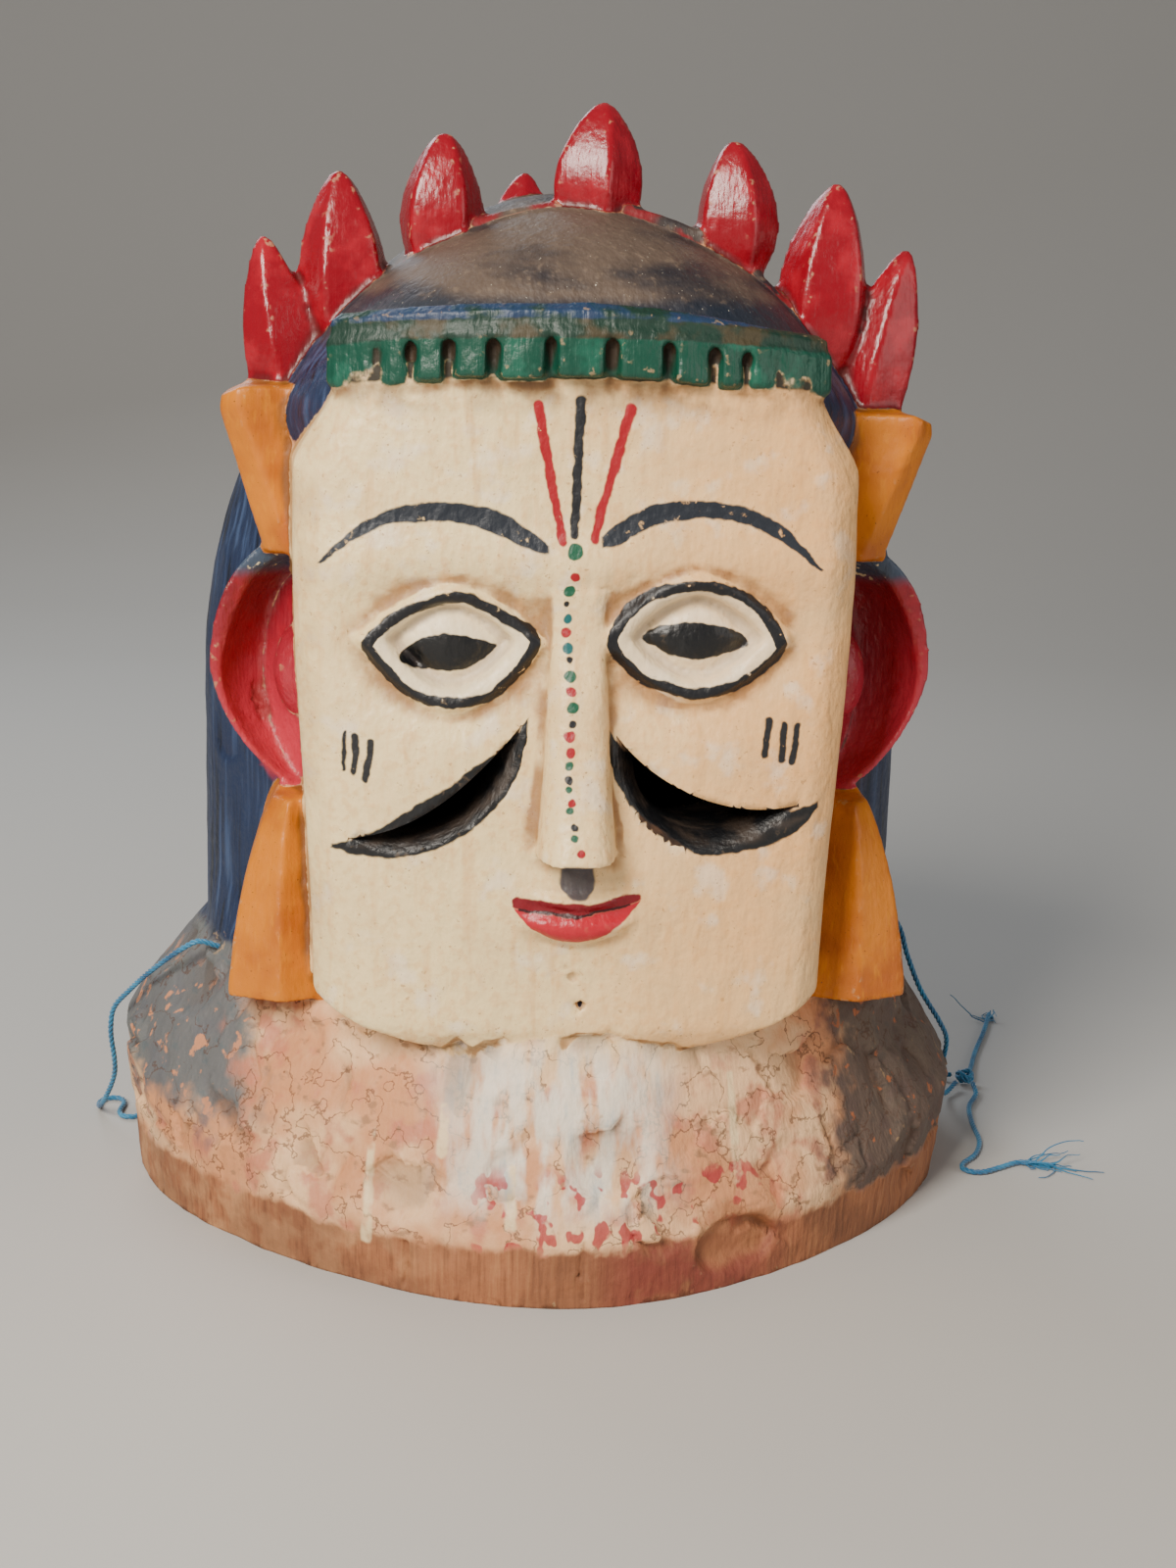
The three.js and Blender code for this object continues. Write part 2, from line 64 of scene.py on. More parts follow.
camera_data = bpy.data.cameras.new("camera")
camera_data.sensor_fit = "VERTICAL"
camera_data.sensor_height = LONG_SIDE
camera_data.lens = FOCAL_LENGTH
camera = bpy.data.objects.new("camera", camera_data)
turn = Matrix.Rotation(-CAMERA_TURN, 4, "Z") @ Matrix.Rotation(math.pi / 2 - CAMERA_DOWN, 4, "X")
camera.matrix_world = Matrix.Translation(CAMERA_PLACE) @ turn @ Matrix.Rotation(CAMERA_ROLL, 4, "Z")
bpy.context.collection.objects.link(camera)
bpy.context.scene.camera = camera


def add_light(name, place, aim, size, power, colour):
    data = bpy.data.lights.new(name, "AREA")
    data.shape = "RECTANGLE"
    data.size = size[0]
    data.size_y = size[1]
    data.energy = power
    data.color = colour
    light = bpy.data.objects.new(name, data)
    light.location = place
    light.rotation_euler = (Vector(aim) - Vector(place)).to_track_quat("-Z", "Y").to_euler()
    bpy.context.collection.objects.link(light)


FACE_CENTRE = (0.0, -0.1, 0.22)
add_light("key_light", (-0.75, -1.25, 1.15), FACE_CENTRE, (0.6, 0.8), 48.0, (1.0, 0.93, 0.83))
add_light("fill_light", (1.2, -0.9, 0.55), FACE_CENTRE, (1.0, 1.0), 6.0, (1.0, 0.93, 0.86))
add_light("rim_light", (-0.6, 1.1, 1.1), FACE_CENTRE, (0.9, 0.6), 9.0, (0.86, 0.93, 1.0))

world = bpy.data.worlds.new("studio")
world.use_nodes = True
world.node_tree.nodes["Background"].inputs["Color"].default_value = (0.80, 0.82, 0.86, 1.0)
world.node_tree.nodes["Background"].inputs["Strength"].default_value = 0.24
bpy.context.scene.world = world

FLOOR_COLOUR = (0.5, 0.49, 0.47, 1.0)
floor_mesh = bpy.data.meshes.new("floor")
floor_blank = bmesh.new()
bmesh.ops.create_grid(floor_blank, x_segments=2, y_segments=60, size=6.0)
BEND_START, BEND_RADIUS = 1.2, 1.4
for vert in floor_blank.verts:
    beyond = vert.co.y - BEND_START
    bend = min(max(beyond, 0.0) / BEND_RADIUS, math.pi / 2)
    if beyond > 0:
        straight = beyond - bend * BEND_RADIUS
        vert.co.y = BEND_START + BEND_RADIUS * math.sin(bend)
        vert.co.z = BEND_RADIUS * (1 - math.cos(bend)) + straight
floor_blank.to_mesh(floor_mesh)
floor_blank.free()
floor_mesh.shade_smooth()
floor = bpy.data.objects.new("floor", floor_mesh)
bpy.context.collection.objects.link(floor)
floor_finish = bpy.data.materials.new("pale_floor")
floor_finish.use_nodes = True
floor_shader = floor_finish.node_tree.nodes["Principled BSDF"]
floor_shader.inputs["Base Color"].default_value = FLOOR_COLOUR
floor_shader.inputs["Roughness"].default_value = 0.8
floor_mesh.materials.append(floor_finish)

# Tie cord
# Blue twisted synthetic line of three strands, threaded through a hole in each side of the
# collar and knotted at the back right. Both loose ends have come untwisted into fine fibres.
CORD_WIDTH = 0.0024
CORD_FLOOR = 0.0015
STRANDS = 3
STRAND_WIDTH = 0.00118
TWIST_LENGTH = 0.0078
KNOT_PLACE = (0.195, 0.087, 0.0042)
ROUTE_SPACING, CURVE_STEPS = 0.0011, 24
CORD_ROUTES = {
    "tie_cord_left": [
        (-0.127, -0.016, 0.0945), (-0.133, -0.0176, 0.0976), (-0.139, -0.0185, 0.0994),
        (-0.145, -0.016, 0.096), (-0.159, -0.004, 0.083), (-0.169, 0.009, 0.071),
        (-0.177, 0.018, 0.060), (-0.179, 0.022, 0.050), (-0.179, 0.032, 0.028),
        (-0.1855, 0.046, 0.010), (-0.1893, 0.058, 0.0028), (-0.1899, 0.066, CORD_FLOOR),
        (-0.1873, 0.0706, CORD_FLOOR), (-0.1821, 0.0706, CORD_FLOOR), (-0.1796, 0.066, CORD_FLOOR),
        (-0.180, 0.0535, CORD_FLOOR), (-0.1778, 0.049, CORD_FLOOR), (-0.173, 0.0484, CORD_FLOOR),
        (-0.1698, 0.0524, CORD_FLOOR), (-0.1685, 0.066, CORD_FLOOR), (-0.161, 0.096, CORD_FLOOR),
        (-0.136, 0.128, CORD_FLOOR), (-0.092, 0.147, CORD_FLOOR), (-0.040, 0.155, CORD_FLOOR),
        (0.020, 0.154, CORD_FLOOR), (0.080, 0.149, CORD_FLOOR), (0.128, 0.134, CORD_FLOOR),
        (0.160, 0.113, CORD_FLOOR), (0.180, 0.097, 0.002), (0.1895, 0.0905, 0.0036),
    ],
    "tie_cord_right": [
        (0.132, 0.024, 0.0935), (0.1385, 0.025, 0.0965), (0.1435, 0.0255, 0.0973),
        (0.1475, 0.026, 0.093), (0.152, 0.027, 0.080), (0.159, 0.029, 0.064),
        (0.1685, 0.032, 0.049), (0.173, 0.036, 0.040), (0.1735, 0.044, 0.024),
        (0.176, 0.057, 0.010), (0.182, 0.069, 0.0028), (0.1895, 0.0806, 0.0036),
    ],
    "tie_cord_tail": [
        (0.197, 0.080, 0.0036), (0.1965, 0.071, 0.002), (0.190, 0.056, CORD_FLOOR),
        (0.1865, 0.036, CORD_FLOOR), (0.1845, 0.014, CORD_FLOOR), (0.179, -0.001, CORD_FLOOR),
        (0.1718, -0.0105, CORD_FLOOR), (0.1706, -0.0152, CORD_FLOOR), (0.1734, -0.019, CORD_FLOOR),
        (0.1782, -0.0194, CORD_FLOOR), (0.186, -0.015, CORD_FLOOR), (0.196, -0.0094, CORD_FLOOR),
        (0.209, -0.013, CORD_FLOOR),
    ],
    "tie_cord_end": [
        (0.198, 0.0936, 0.0038), (0.2015, 0.103, 0.0022), (0.209, 0.126, CORD_FLOOR),
        (0.220, 0.155, CORD_FLOOR), (0.230, 0.184, CORD_FLOOR),
    ],
}


def smooth_route(points, spacing):
    """Points a fixed step apart on the centripetal curve through the chosen points."""
    line = [Vector(p) for p in points]
    line = [line[0] * 2 - line[1]] + line + [line[-1] * 2 - line[-2]]
    dense = []
    for p0, p1, p2, p3 in zip(line, line[1:], line[2:], line[3:]):
        t1 = (p1 - p0).length ** 0.5
        t2 = t1 + (p2 - p1).length ** 0.5
        t3 = t2 + (p3 - p2).length ** 0.5
        for step in range(CURVE_STEPS):
            t = t1 + (t2 - t1) * step / CURVE_STEPS
            a1 = p0 * ((t1 - t) / t1) + p1 * (t / t1)
            a2 = p1 * ((t2 - t) / (t2 - t1)) + p2 * ((t - t1) / (t2 - t1))
            a3 = p2 * ((t3 - t) / (t3 - t2)) + p3 * ((t - t2) / (t3 - t2))
            b1 = a1 * ((t2 - t) / t2) + a2 * (t / t2)
            b2 = a2 * ((t3 - t) / (t3 - t1)) + a3 * ((t - t1) / (t3 - t1))
            dense.append(b1 * ((t2 - t) / (t2 - t1)) + b2 * ((t - t1) / (t2 - t1)))
    dense.append(line[-2])
    along = np.cumsum([0.0] + [(b - a).length for a, b in zip(dense, dense[1:])])
    count = max(2, round(along[-1] / spacing))
    places = np.linspace(0.0, along[-1], count + 1)
    coords = np.array([tuple(p) for p in dense])
    route = [Vector([np.interp(s, along, coords[:, k]) for k in range(3)]) for s in places]
    return route, along[-1]


def add_strand(cord, centres, radius, sides=6):
    """A closed round strand: a ring extruded from centre to centre."""
    ring = []
    side_way = None
    for i, centre in enumerate(centres):
        ahead = centres[min(i + 1, len(centres) - 1)] - centres[max(i - 1, 0)]
        ahead.normalize()
        if side_way is None:
            side_way = ahead.orthogonal()
        side_way = (side_way - ahead * side_way.dot(ahead)).normalized()
        other_way = ahead.cross(side_way)
        here = radius(i / (len(centres) - 1))
        if i == 0:
            first = bmesh.ops.create_circle(cord, cap_ends=True, segments=sides, radius=1.0)
            ring = first["verts"]
            faces = list({f for v in ring for f in v.link_faces})
            bmesh.ops.reverse_faces(cord, faces=faces)
        else:
            edges = list({e for v in ring for e in v.link_edges if e.other_vert(v) in set(ring)})
            extruded = bmesh.ops.extrude_edge_only(cord, edges=edges)
            fresh = [e for e in extruded["geom"] if isinstance(e, bmesh.types.BMVert)]
            below = {v: next(o for e in v.link_edges for o in [e.other_vert(v)] if o in set(ring))
                     for v in fresh}
            order = {old: new for new, old in below.items()}
            ring = [order[v] for v in ring]
        for k, vert in enumerate(ring):
            angle = 2 * math.pi * k / sides
            vert.co = centre + (side_way * math.cos(angle) + other_way * math.sin(angle)) * here
    cord.faces.new(ring)


cord_finish = bpy.data.materials.new("blue_cord")
cord_finish.use_nodes = True
cord_nodes = cord_finish.node_tree.nodes
cord_shader = cord_nodes["Principled BSDF"]
cord_place = cord_nodes.new("ShaderNodeTexCoord")
cord_fading = cord_nodes.new("ShaderNodeTexNoise")
cord_fading.inputs["Scale"].default_value = 90.0
cord_fading.inputs["Detail"].default_value = 3.0
cord_ramp = cord_nodes.new("ShaderNodeValToRGB")
cord_ramp.color_ramp.elements[0].position = 0.3
cord_ramp.color_ramp.elements[0].color = (0.006, 0.085, 0.205, 1.0)
cord_ramp.color_ramp.elements[1].position = 0.72
cord_ramp.color_ramp.elements[1].color = (0.022, 0.235, 0.43, 1.0)
cord_fibres = cord_nodes.new("ShaderNodeTexNoise")
cord_fibres.inputs["Scale"].default_value = 2600.0
cord_bump = cord_nodes.new("ShaderNodeBump")
cord_bump.inputs["Strength"].default_value = 0.4
cord_bump.inputs["Distance"].default_value = 0.0002
cord_link = cord_finish.node_tree.links.new
cord_link(cord_place.outputs["Object"], cord_fading.inputs["Vector"])
cord_link(cord_place.outputs["Object"], cord_fibres.inputs["Vector"])
cord_link(cord_fading.outputs["Fac"], cord_ramp.inputs["Fac"])
cord_link(cord_ramp.outputs["Color"], cord_shader.inputs["Base Color"])
cord_link(cord_fibres.outputs["Fac"], cord_bump.inputs["Height"])
cord_link(cord_bump.outputs["Normal"], cord_shader.inputs["Normal"])
cord_shader.inputs["Roughness"].default_value = 0.42
cord_shader.inputs["Sheen Weight"].default_value = 0.3

FREE_ENDS = ("tie_cord_tail", "tie_cord_end")
FIBRE_WIDTH, FIBRES, FIBRE_STEPS, FIBRE_SIDES = 0.0007, 18, 12, 4
FIBRE_SHORTEST, FIBRE_LONGEST = 0.011, 0.027
FIBRE_SPREAD, FIBRE_WANDER, FIBRE_SAG = 0.42, 0.17, 0.07
FIBRE_ROOTS, LAST_TURN = 14, 8
rng = np.random.default_rng(11)


def twisted(route, strand):
    """The centres of one of the strands, wound round the route."""
    side_way = None
    centres = []
    length = 0.0
    for i, here in enumerate(route):
        ahead = route[min(i + 1, len(route) - 1)] - route[max(i - 1, 0)]
        ahead.normalize()
        if side_way is None:
            side_way = ahead.orthogonal()
        side_way = (side_way - ahead * side_way.dot(ahead)).normalized()
        if i > 0:
            length += (here - route[i - 1]).length
        angle = 2 * math.pi * (length / TWIST_LENGTH + strand / STRANDS)
        away = side_way * math.cos(angle) + ahead.cross(side_way) * math.sin(angle)
        centres.append(here + away * (CORD_WIDTH - STRAND_WIDTH) / 2)
    return centres


def frayed_end(name, route):
    """Loose fibres that fan out past the last turn of the cord, sagging to the floor."""
    fibres = bmesh.new()
    ahead = (route[-1] - route[-LAST_TURN]).normalized()
    low = np.array(cad_box[0]) + FIBRE_WIDTH
    high = np.array(cad_box[1]) - FIBRE_WIDTH
    sag = Vector((0, 0, FIBRE_SAG))
    for _ in range(FIBRES):
        heading = ahead + Vector(rng.normal(0, FIBRE_SPREAD, 3))
        step = rng.uniform(FIBRE_SHORTEST, FIBRE_LONGEST) / FIBRE_STEPS
        centres = [route[-1 - int(rng.integers(0, FIBRE_ROOTS))].copy()]
        for _ in range(FIBRE_STEPS):
            heading = (heading + Vector(rng.normal(0, FIBRE_WANDER, 3)) - sag).normalized()
            centres.append(Vector(np.clip(centres[-1] + heading * step, low, high)))
        add_strand(fibres, centres, lambda t: FIBRE_WIDTH / 2 * (1 - 0.5 * t), FIBRE_SIDES)
    bmesh.ops.recalc_face_normals(fibres, faces=fibres.faces)
    mesh = bpy.data.meshes.new(name + "_fibres")
    fibres.to_mesh(mesh)
    fibres.free()
    mesh.materials.append(cord_finish)
    fray = bpy.data.objects.new(name + "_fibres", mesh)
    bpy.context.collection.objects.link(fray)
    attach(fray, "root")
    return fray


cord_objects = {}
for name, points in CORD_ROUTES.items():
    cord_blank = bmesh.new()
    route, length = smooth_route(points, ROUTE_SPACING)
    for strand in range(STRANDS):
        add_strand(cord_blank, twisted(route, strand), lambda t: STRAND_WIDTH / 2)
    for vert in cord_blank.verts:
        vert.co = Vector(np.clip(vert.co, cad_box[0], cad_box[1]))
    cord_mesh = bpy.data.meshes.new(name + "_twisted")
    bmesh.ops.recalc_face_normals(cord_blank, faces=cord_blank.faces)
    cord_blank.to_mesh(cord_mesh)
    cord_blank.free()
    cord_mesh.shade_smooth()
    cord_mesh.materials.append(cord_finish)
    cord_object = bpy.data.objects.new(name + "_twisted", cord_mesh)
    bpy.context.collection.objects.link(cord_object)
    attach(cord_object, "root")
    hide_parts(name)
    cord_objects[name] = (cord_object, route)

knot_blank = bmesh.new()
KNOT_STEPS, KNOT_FLATNESS = 46, 0.85
KNOT_LOOPS = [(0.0032, 0.0012, 0.5), (0.0030, 0.0016, -0.6)]
for loop, (reach, height, tilt) in enumerate(KNOT_LOOPS):
    loop_route = []
    for step in range(KNOT_STEPS + 1):
        angle = 2 * math.pi * step / KNOT_STEPS
        lift = height * math.sin(2 * angle + loop)
        offset = Vector((reach * math.cos(angle), KNOT_FLATNESS * reach * math.sin(angle), lift))
        offset.rotate(Matrix.Rotation(tilt, 3, "X"))
        loop_route.append(Vector(KNOT_PLACE) + offset)
    for strand in range(STRANDS):
        add_strand(knot_blank, twisted(loop_route, strand), lambda t: STRAND_WIDTH / 2)
knot_mesh = bpy.data.meshes.new("cord_knot_tied")
bmesh.ops.recalc_face_normals(knot_blank, faces=knot_blank.faces)
knot_blank.to_mesh(knot_mesh)
knot_blank.free()
knot_mesh.shade_smooth()
knot_mesh.materials.append(cord_finish)
knot_object = bpy.data.objects.new("cord_knot_tied", knot_mesh)
bpy.context.collection.objects.link(knot_object)
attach(knot_object, "root")
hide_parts("cord_knot")

# The two sides run into the knot, and the two loose ends start from it
for name, (cord_object, route) in cord_objects.items():
    is_free = name in FREE_ENDS
    end_pieces = [frayed_end(name, route)] if is_free else []
    if name == "tie_cord_left":
        end_pieces = [knot_object]

# Mask block
# One block of light wood, grain upright, hollowed from below with the carving all on the outside:
# collar, head, face, band, crown of buds, ears, horns and pendants are one piece. Millimetres
# are used while it is carved, and the finished mesh is set down in metres.
MM = 0.001
COLLAR_WIDTH, COLLAR_DEPTH = 342, 280
RIM_FRONT, RIM_SIDE = 24, 50
NECK_FRONT, NECK_SIDE = 84, 103
HEAD_WIDTH, HEAD_DEPTH = 277, 226
CROWN_HEIGHT, BUD_HEIGHT = 381, 418
FACE_WIDTH, FACE_TOP, FACE_FRONT, FACE_THICKNESS = 190, 324, 115, 72
NOSE_REACH, NOSE_WIDTH = 22, 29
SHELL_WALL, FACE_WALL, CROWN_WALL, CORD_HOLE = 20, 26, 26, 7
FACE_HEIGHT = FACE_TOP - NECK_FRONT
BAND_RISE = 6.5
MIDDLE, HEAD_FRONT = 22, -110
HEAD_BACK = HEAD_FRONT + HEAD_DEPTH
DOME_SPRING = 200
SIDE_UNEVEN, RIM_UNEVEN, RIM_LEAN = 2, 8, 6
rng = np.random.default_rng(7)


def mix(a, b, t):
    return a + (b - a) * t


def smooth(t):
    t = np.clip(t, 0.0, 1.0)
    return t * t * (3 - 2 * t)


def bump(t):
    return np.exp(-t * t)


def across(share):
    return share * FACE_WIDTH


def up(share):
    return NECK_FRONT + share * FACE_HEIGHT


def carve(blank, place):
    """Moves every point of a blank to where place puts it. Place takes and gives x, y and z."""
    points = np.array([vert.co[:] for vert in blank.verts]).T
    for vert, co in zip(blank.verts, np.stack(place(*points), axis=1)):
        vert.co = co
    bmesh.ops.remove_doubles(blank, verts=blank.verts, dist=0.01)
    bmesh.ops.recalc_face_normals(blank, faces=blank.faces)
    return blank


def make_brick(columns, layers, rows, place):
    """A closed block whose place takes three shares from 0 to 1: across, back and up."""
    blank = bmesh.new()
    bmesh.ops.create_cube(blank, size=1.0, matrix=Matrix.Translation((0.5, 0.5, 0.5)))
    for axis, count in enumerate((columns, layers, rows)):
        if count > 1:
            along = [e for e in blank.edges if abs((e.verts[0].co - e.verts[1].co)[axis]) > 0.9]
            bmesh.ops.subdivide_edges(blank, edges=along, cuts=count - 1, use_grid_fill=True)
    return carve(blank, place)


def make_ball(around, rings, place):
    """A closed ball whose place takes a direction of length 1."""
    blank = bmesh.new()
    bmesh.ops.create_uvsphere(blank, u_segments=around, v_segments=rings, radius=1.0)
    return carve(blank, place)


def make_drum(stations, sides, spacing):
    """A closed loft through the stations, spun from an upright row of points."""
    table = [stations[0]]
    for low, high in zip(stations, stations[1:]):
        reach = max(abs(high[0] - low[0]), abs(high[5] - low[5]), abs(high[3] - low[3]))
        count = max(1, math.ceil(reach / spacing))
        table += [mix(low, high, (k + 1) / count) for k in range(count)]
    table = np.array(table)
    blank = bmesh.new()
    heights = [0] + list(range(len(table))) + [len(table) - 1]
    row = [blank.verts.new((float(0 < i <= len(table)), 0.0, z)) for i, z in enumerate(heights)]
    edges = [blank.edges.new(pair) for pair in zip(row, row[1:])]
    bmesh.ops.spin(blank, geom=row + edges, axis=(0, 0, 1), cent=(0, 0, 0), angle=2 * math.pi,
                   steps=sides, use_merge=True)
    bmesh.ops.remove_doubles(blank, verts=blank.verts, dist=1e-5)

    def place(x, y, z):
        share = np.hypot(x, y)
        px, py, pz = outline(np.arctan2(y, x), table[np.rint(z).astype(int)])
        return px * share, mix(MIDDLE, py, share), pz

    return carve(blank, place)


def outline(angle, station):
    front_z, left_z, right_z, left, right, front, back, taper, power = station.T
    c, s = np.cos(angle), np.sin(angle)
    ahead = s < 0
    power = np.where(ahead, power, BACK_POWER)
    taper = np.where(ahead, taper, 0.0)
    reach = np.where(ahead, MIDDLE - front, back - MIDDLE)
    half = np.where(c < 0, left, right)
    x = half * np.sign(c) * np.abs(c) ** (2 / power) * (1 - taper * s * s)
    y = MIDDLE + reach * np.sign(s) * np.abs(s) ** (2 / power)
    side = mix(left_z, right_z, smooth((1 + c) / 2))
    return x, y, mix(front_z, side, smooth(1 + s))


# Body: the skin and the hollow of the block, each a stack of outlines
# A station holds the height of its front, left and right, its left and right half width, its
# front and back, how far its front narrows, and the power of its curve, where 2 is an ellipse.
# The dome swells a little over the foot of the rib.
DOME_SWELL = 6.0
DOME_STEPS, HOLLOW_STEPS, HOLLOW_SPRING = 48, 16, 190
DOME_SIDE_POWER, BACK_POWER, BROW_POWER = 0.56, 2.2, 3.6
FACE_TAPER, COLLAR_TAPER = 0.66, 0.25
UNDER_FLOOR, BELOW_HOLLOW = -8, -20


def outer_stations():
    top = CROWN_HEIGHT + DOME_SWELL
    half, head = COLLAR_WIDTH / 2, HEAD_WIDTH / 2
    halves = np.array([half + SIDE_UNEVEN, half - SIDE_UNEVEN])
    front, back = -COLLAR_DEPTH / 2, COLLAR_DEPTH / 2
    neck_face = -FACE_FRONT - 2
    rim = np.array([RIM_FRONT, RIM_SIDE + RIM_UNEVEN, RIM_SIDE - RIM_UNEVEN])
    neck = np.array([NECK_FRONT, NECK_SIDE, NECK_SIDE])
    slope = (rim + neck) / 2
    foot = [*(halves - RIM_LEAN), front, back - RIM_LEAN, COLLAR_TAPER, 2]
    rows = [
        [UNDER_FLOOR] * 3 + foot,
        [0] * 3 + foot,
        [*rim, *halves, front, back, COLLAR_TAPER, 2],
        [*slope, mix(halves[0], head, 0.4), mix(halves[1], head, 0.6),
         mix(front, neck_face, 0.45), mix(back, HEAD_BACK, 0.5), 0.22, 2],
        [*neck, head, head, neck_face, HEAD_BACK, 0.15, 2],
        [*(neck + 24), head, head, HEAD_FRONT, HEAD_BACK, 0.55, 2],
        [160, 165, 165, head, head, HEAD_FRONT, HEAD_BACK, FACE_TAPER, 2],
    ]
    for i in range(DOME_STEPS):
        q = math.sin(i / DOME_STEPS * math.pi / 2)
        z = mix(DOME_SPRING, top, q)
        side = head * (1 - q * q) ** DOME_SIDE_POWER
        here = mix(MIDDLE, HEAD_FRONT - 2, math.sqrt(1 - q ** 9))
        behind = mix(MIDDLE, HEAD_BACK, math.sqrt(1 - q * q))
        taper = FACE_TAPER * (1 - smooth((z - 265) / 50))
        power = mix(2, BROW_POWER, smooth((z - 270) / 50) * (1 - smooth((z - 345) / 36)))
        rows.append([z, z, z, side, side, here, behind, taper, power])
    rows.append([top] * 3 + [2, 2, MIDDLE - 3, MIDDLE + 2, 0, 2])
    return np.array(rows, dtype=float)


def inner_stations():
    half = COLLAR_WIDTH / 2 - SHELL_WALL - RIM_LEAN
    front, back = -COLLAR_DEPTH / 2 + SHELL_WALL + 4, COLLAR_DEPTH / 2 - SHELL_WALL
    head = HEAD_WIDTH / 2 - SHELL_WALL
    face_side, back_side = -FACE_FRONT + FACE_WALL, HEAD_BACK - SHELL_WALL
    lip = [0.7 * z for z in (RIM_FRONT, RIM_SIDE, RIM_SIDE)]
    rows = [
        [BELOW_HOLLOW] * 3 + [half, half, front, back, 0.3, 2],
        [*lip, half, half, front, back, 0.3, 2],
        [NECK_FRONT * 0.8, NECK_SIDE, NECK_SIDE, head, head, face_side, back_side, 0.4, 2],
        [150, 150, 150, head, head, face_side, back_side, 0.55, 2],
    ]
    for i in range(HOLLOW_STEPS):
        q = math.sin(i / HOLLOW_STEPS * math.pi / 2)
        z = mix(HOLLOW_SPRING, CROWN_HEIGHT - CROWN_WALL, q)
        side = head * (1 - q * q) ** DOME_SIDE_POWER
        here = mix(MIDDLE, face_side, math.sqrt(1 - q ** 6))
        behind = mix(MIDDLE, back_side, math.sqrt(1 - q * q))
        rows.append([z, z, z, side, side, here, behind, mix(0.55, 0, q), 2])
    return np.array(rows, dtype=float)


# Face: a slab proud of the head, with a wedge nose, two lips, carved eyes and pierced crescents
# Its carvings lie at shares of its width from the middle and of its height from the foot, as a
# carver sets one out.
EYES = [
    {"x": -0.229, "z": 0.628, "half": 0.155, "above": 0.070, "below": 0.091, "deep": 0.0},
    {"x": 0.216, "z": 0.636, "half": 0.162, "above": 0.082, "below": 0.082, "deep": 2.0},
]
SLITS = [
    [(-0.44, 0.328), (-0.337, 0.292), (-0.116, 0.329), (-0.09, 0.516), (-0.22, 0.392), (-0.31, 0.345)],
    [(0.451, 0.388), (0.221, 0.241), (0.047, 0.367), (0.065, 0.500), (0.147, 0.417), (0.29, 0.367)],
]
SLIT_SHRINK, SLIT_BEVEL, SLIT_REACH, SLIT_STEPS = 0.7, 13, 70, 24
EYE_RIM, EYE_BALL, EYE_EDGE = 5.5, 4.0, 0.66
BROW_RIDGE, CHEEK_RISE, MOUTH_RISE, SOCKET_DEPTH = 3.5, 3, 4.5, 6
FACE_COLUMNS, FACE_ROWS = 150, 180
NOSE_TOP, NOSE_FOOT = 0.70, 0.32
LIPS_MIDDLE, LIPS_HALF = 0.01, 0.118
LOWER_LIP, UPPER_LIP = (0.209, 6.2, 7), (0.249, 3.2, 5.5)


def face_half(z):
    t = np.clip((z - NECK_FRONT) / FACE_HEIGHT, 0, 1)
    return FACE_WIDTH / 2 * (0.96 + 0.07 * smooth(t / 0.7) - 0.16 * smooth((t - 0.84) / 0.16))


def face_base(x):
    return NECK_FRONT + FACE_HEIGHT * 0.1 * np.abs(2 * x / FACE_WIDTH) ** 3


def almond_share(eye, x, z):
    """How large the eye's almond has to be drawn to reach a point: 1 is the eye's own edge."""
    a = (np.abs(x - across(eye["x"])) / across(eye["half"])) ** 1.8
    tall = np.where(z > up(eye["z"]), eye["above"], eye["below"]) * FACE_HEIGHT
    b = np.abs(z - up(eye["z"])) / tall
    low, high = np.full_like(x, 0.02), np.full_like(x, 8.0)
    for _ in range(18):
        k = (low + high) / 2
        inside = k - a * k ** -0.8 > b
        high, low = np.where(inside, k, high), np.where(inside, low, k)
    return (low + high) / 2


def relief(x, z):
    """How far the face stands out in front of its plane."""
    s = x / face_half(z)
    t = (z - NECK_FRONT) / FACE_HEIGHT
    out = -8 * np.abs(s) ** 3 - 8 * np.clip((np.abs(s) - 0.86) / 0.14, 0, 1) ** 2
    out = out + BROW_RIDGE * bump((t - 0.735) / 0.045) * (1 - 0.5 * s * s)
    out = out + CHEEK_RISE * bump((np.abs(s) - 0.5) / 0.3) * bump((t - 0.42) / 0.14)
    out = out + MOUTH_RISE * bump((x - 2) / across(0.19)) * bump((t - 0.245) / 0.085)
    out = out - 5 * smooth((0.05 - t) / 0.05)
    for eye in EYES:
        dx = (x - across(eye["x"])) / across(eye["half"] * 1.3)
        dz = (z - up(eye["z"])) / (FACE_HEIGHT * (eye["above"] + eye["below"]) * 0.75)
        out = out - SOCKET_DEPTH * smooth(1.35 - np.hypot(dx, dz))
    return out


def eye_relief(x, z):
    """Raised rim round each eye, and the eyeball in it."""
    out = np.zeros_like(x)
    for eye in EYES:
        k = almond_share(eye, x, z)
        rim = EYE_RIM * smooth((1.2 - k) / 0.18) * smooth((k - 0.68) / 0.12)
        upper = smooth((z - up(eye["z"])) / 6)
        groove = (1.5 + eye["deep"] * upper) * bump((k - EYE_EDGE) / 0.1)
        ball = EYE_BALL * (1 - np.clip(k / EYE_EDGE, 0, 1) ** 2)
        out = out + rim - groove + ball
    return out


def face_point(x, z):
    return -FACE_FRONT - relief(x, z)


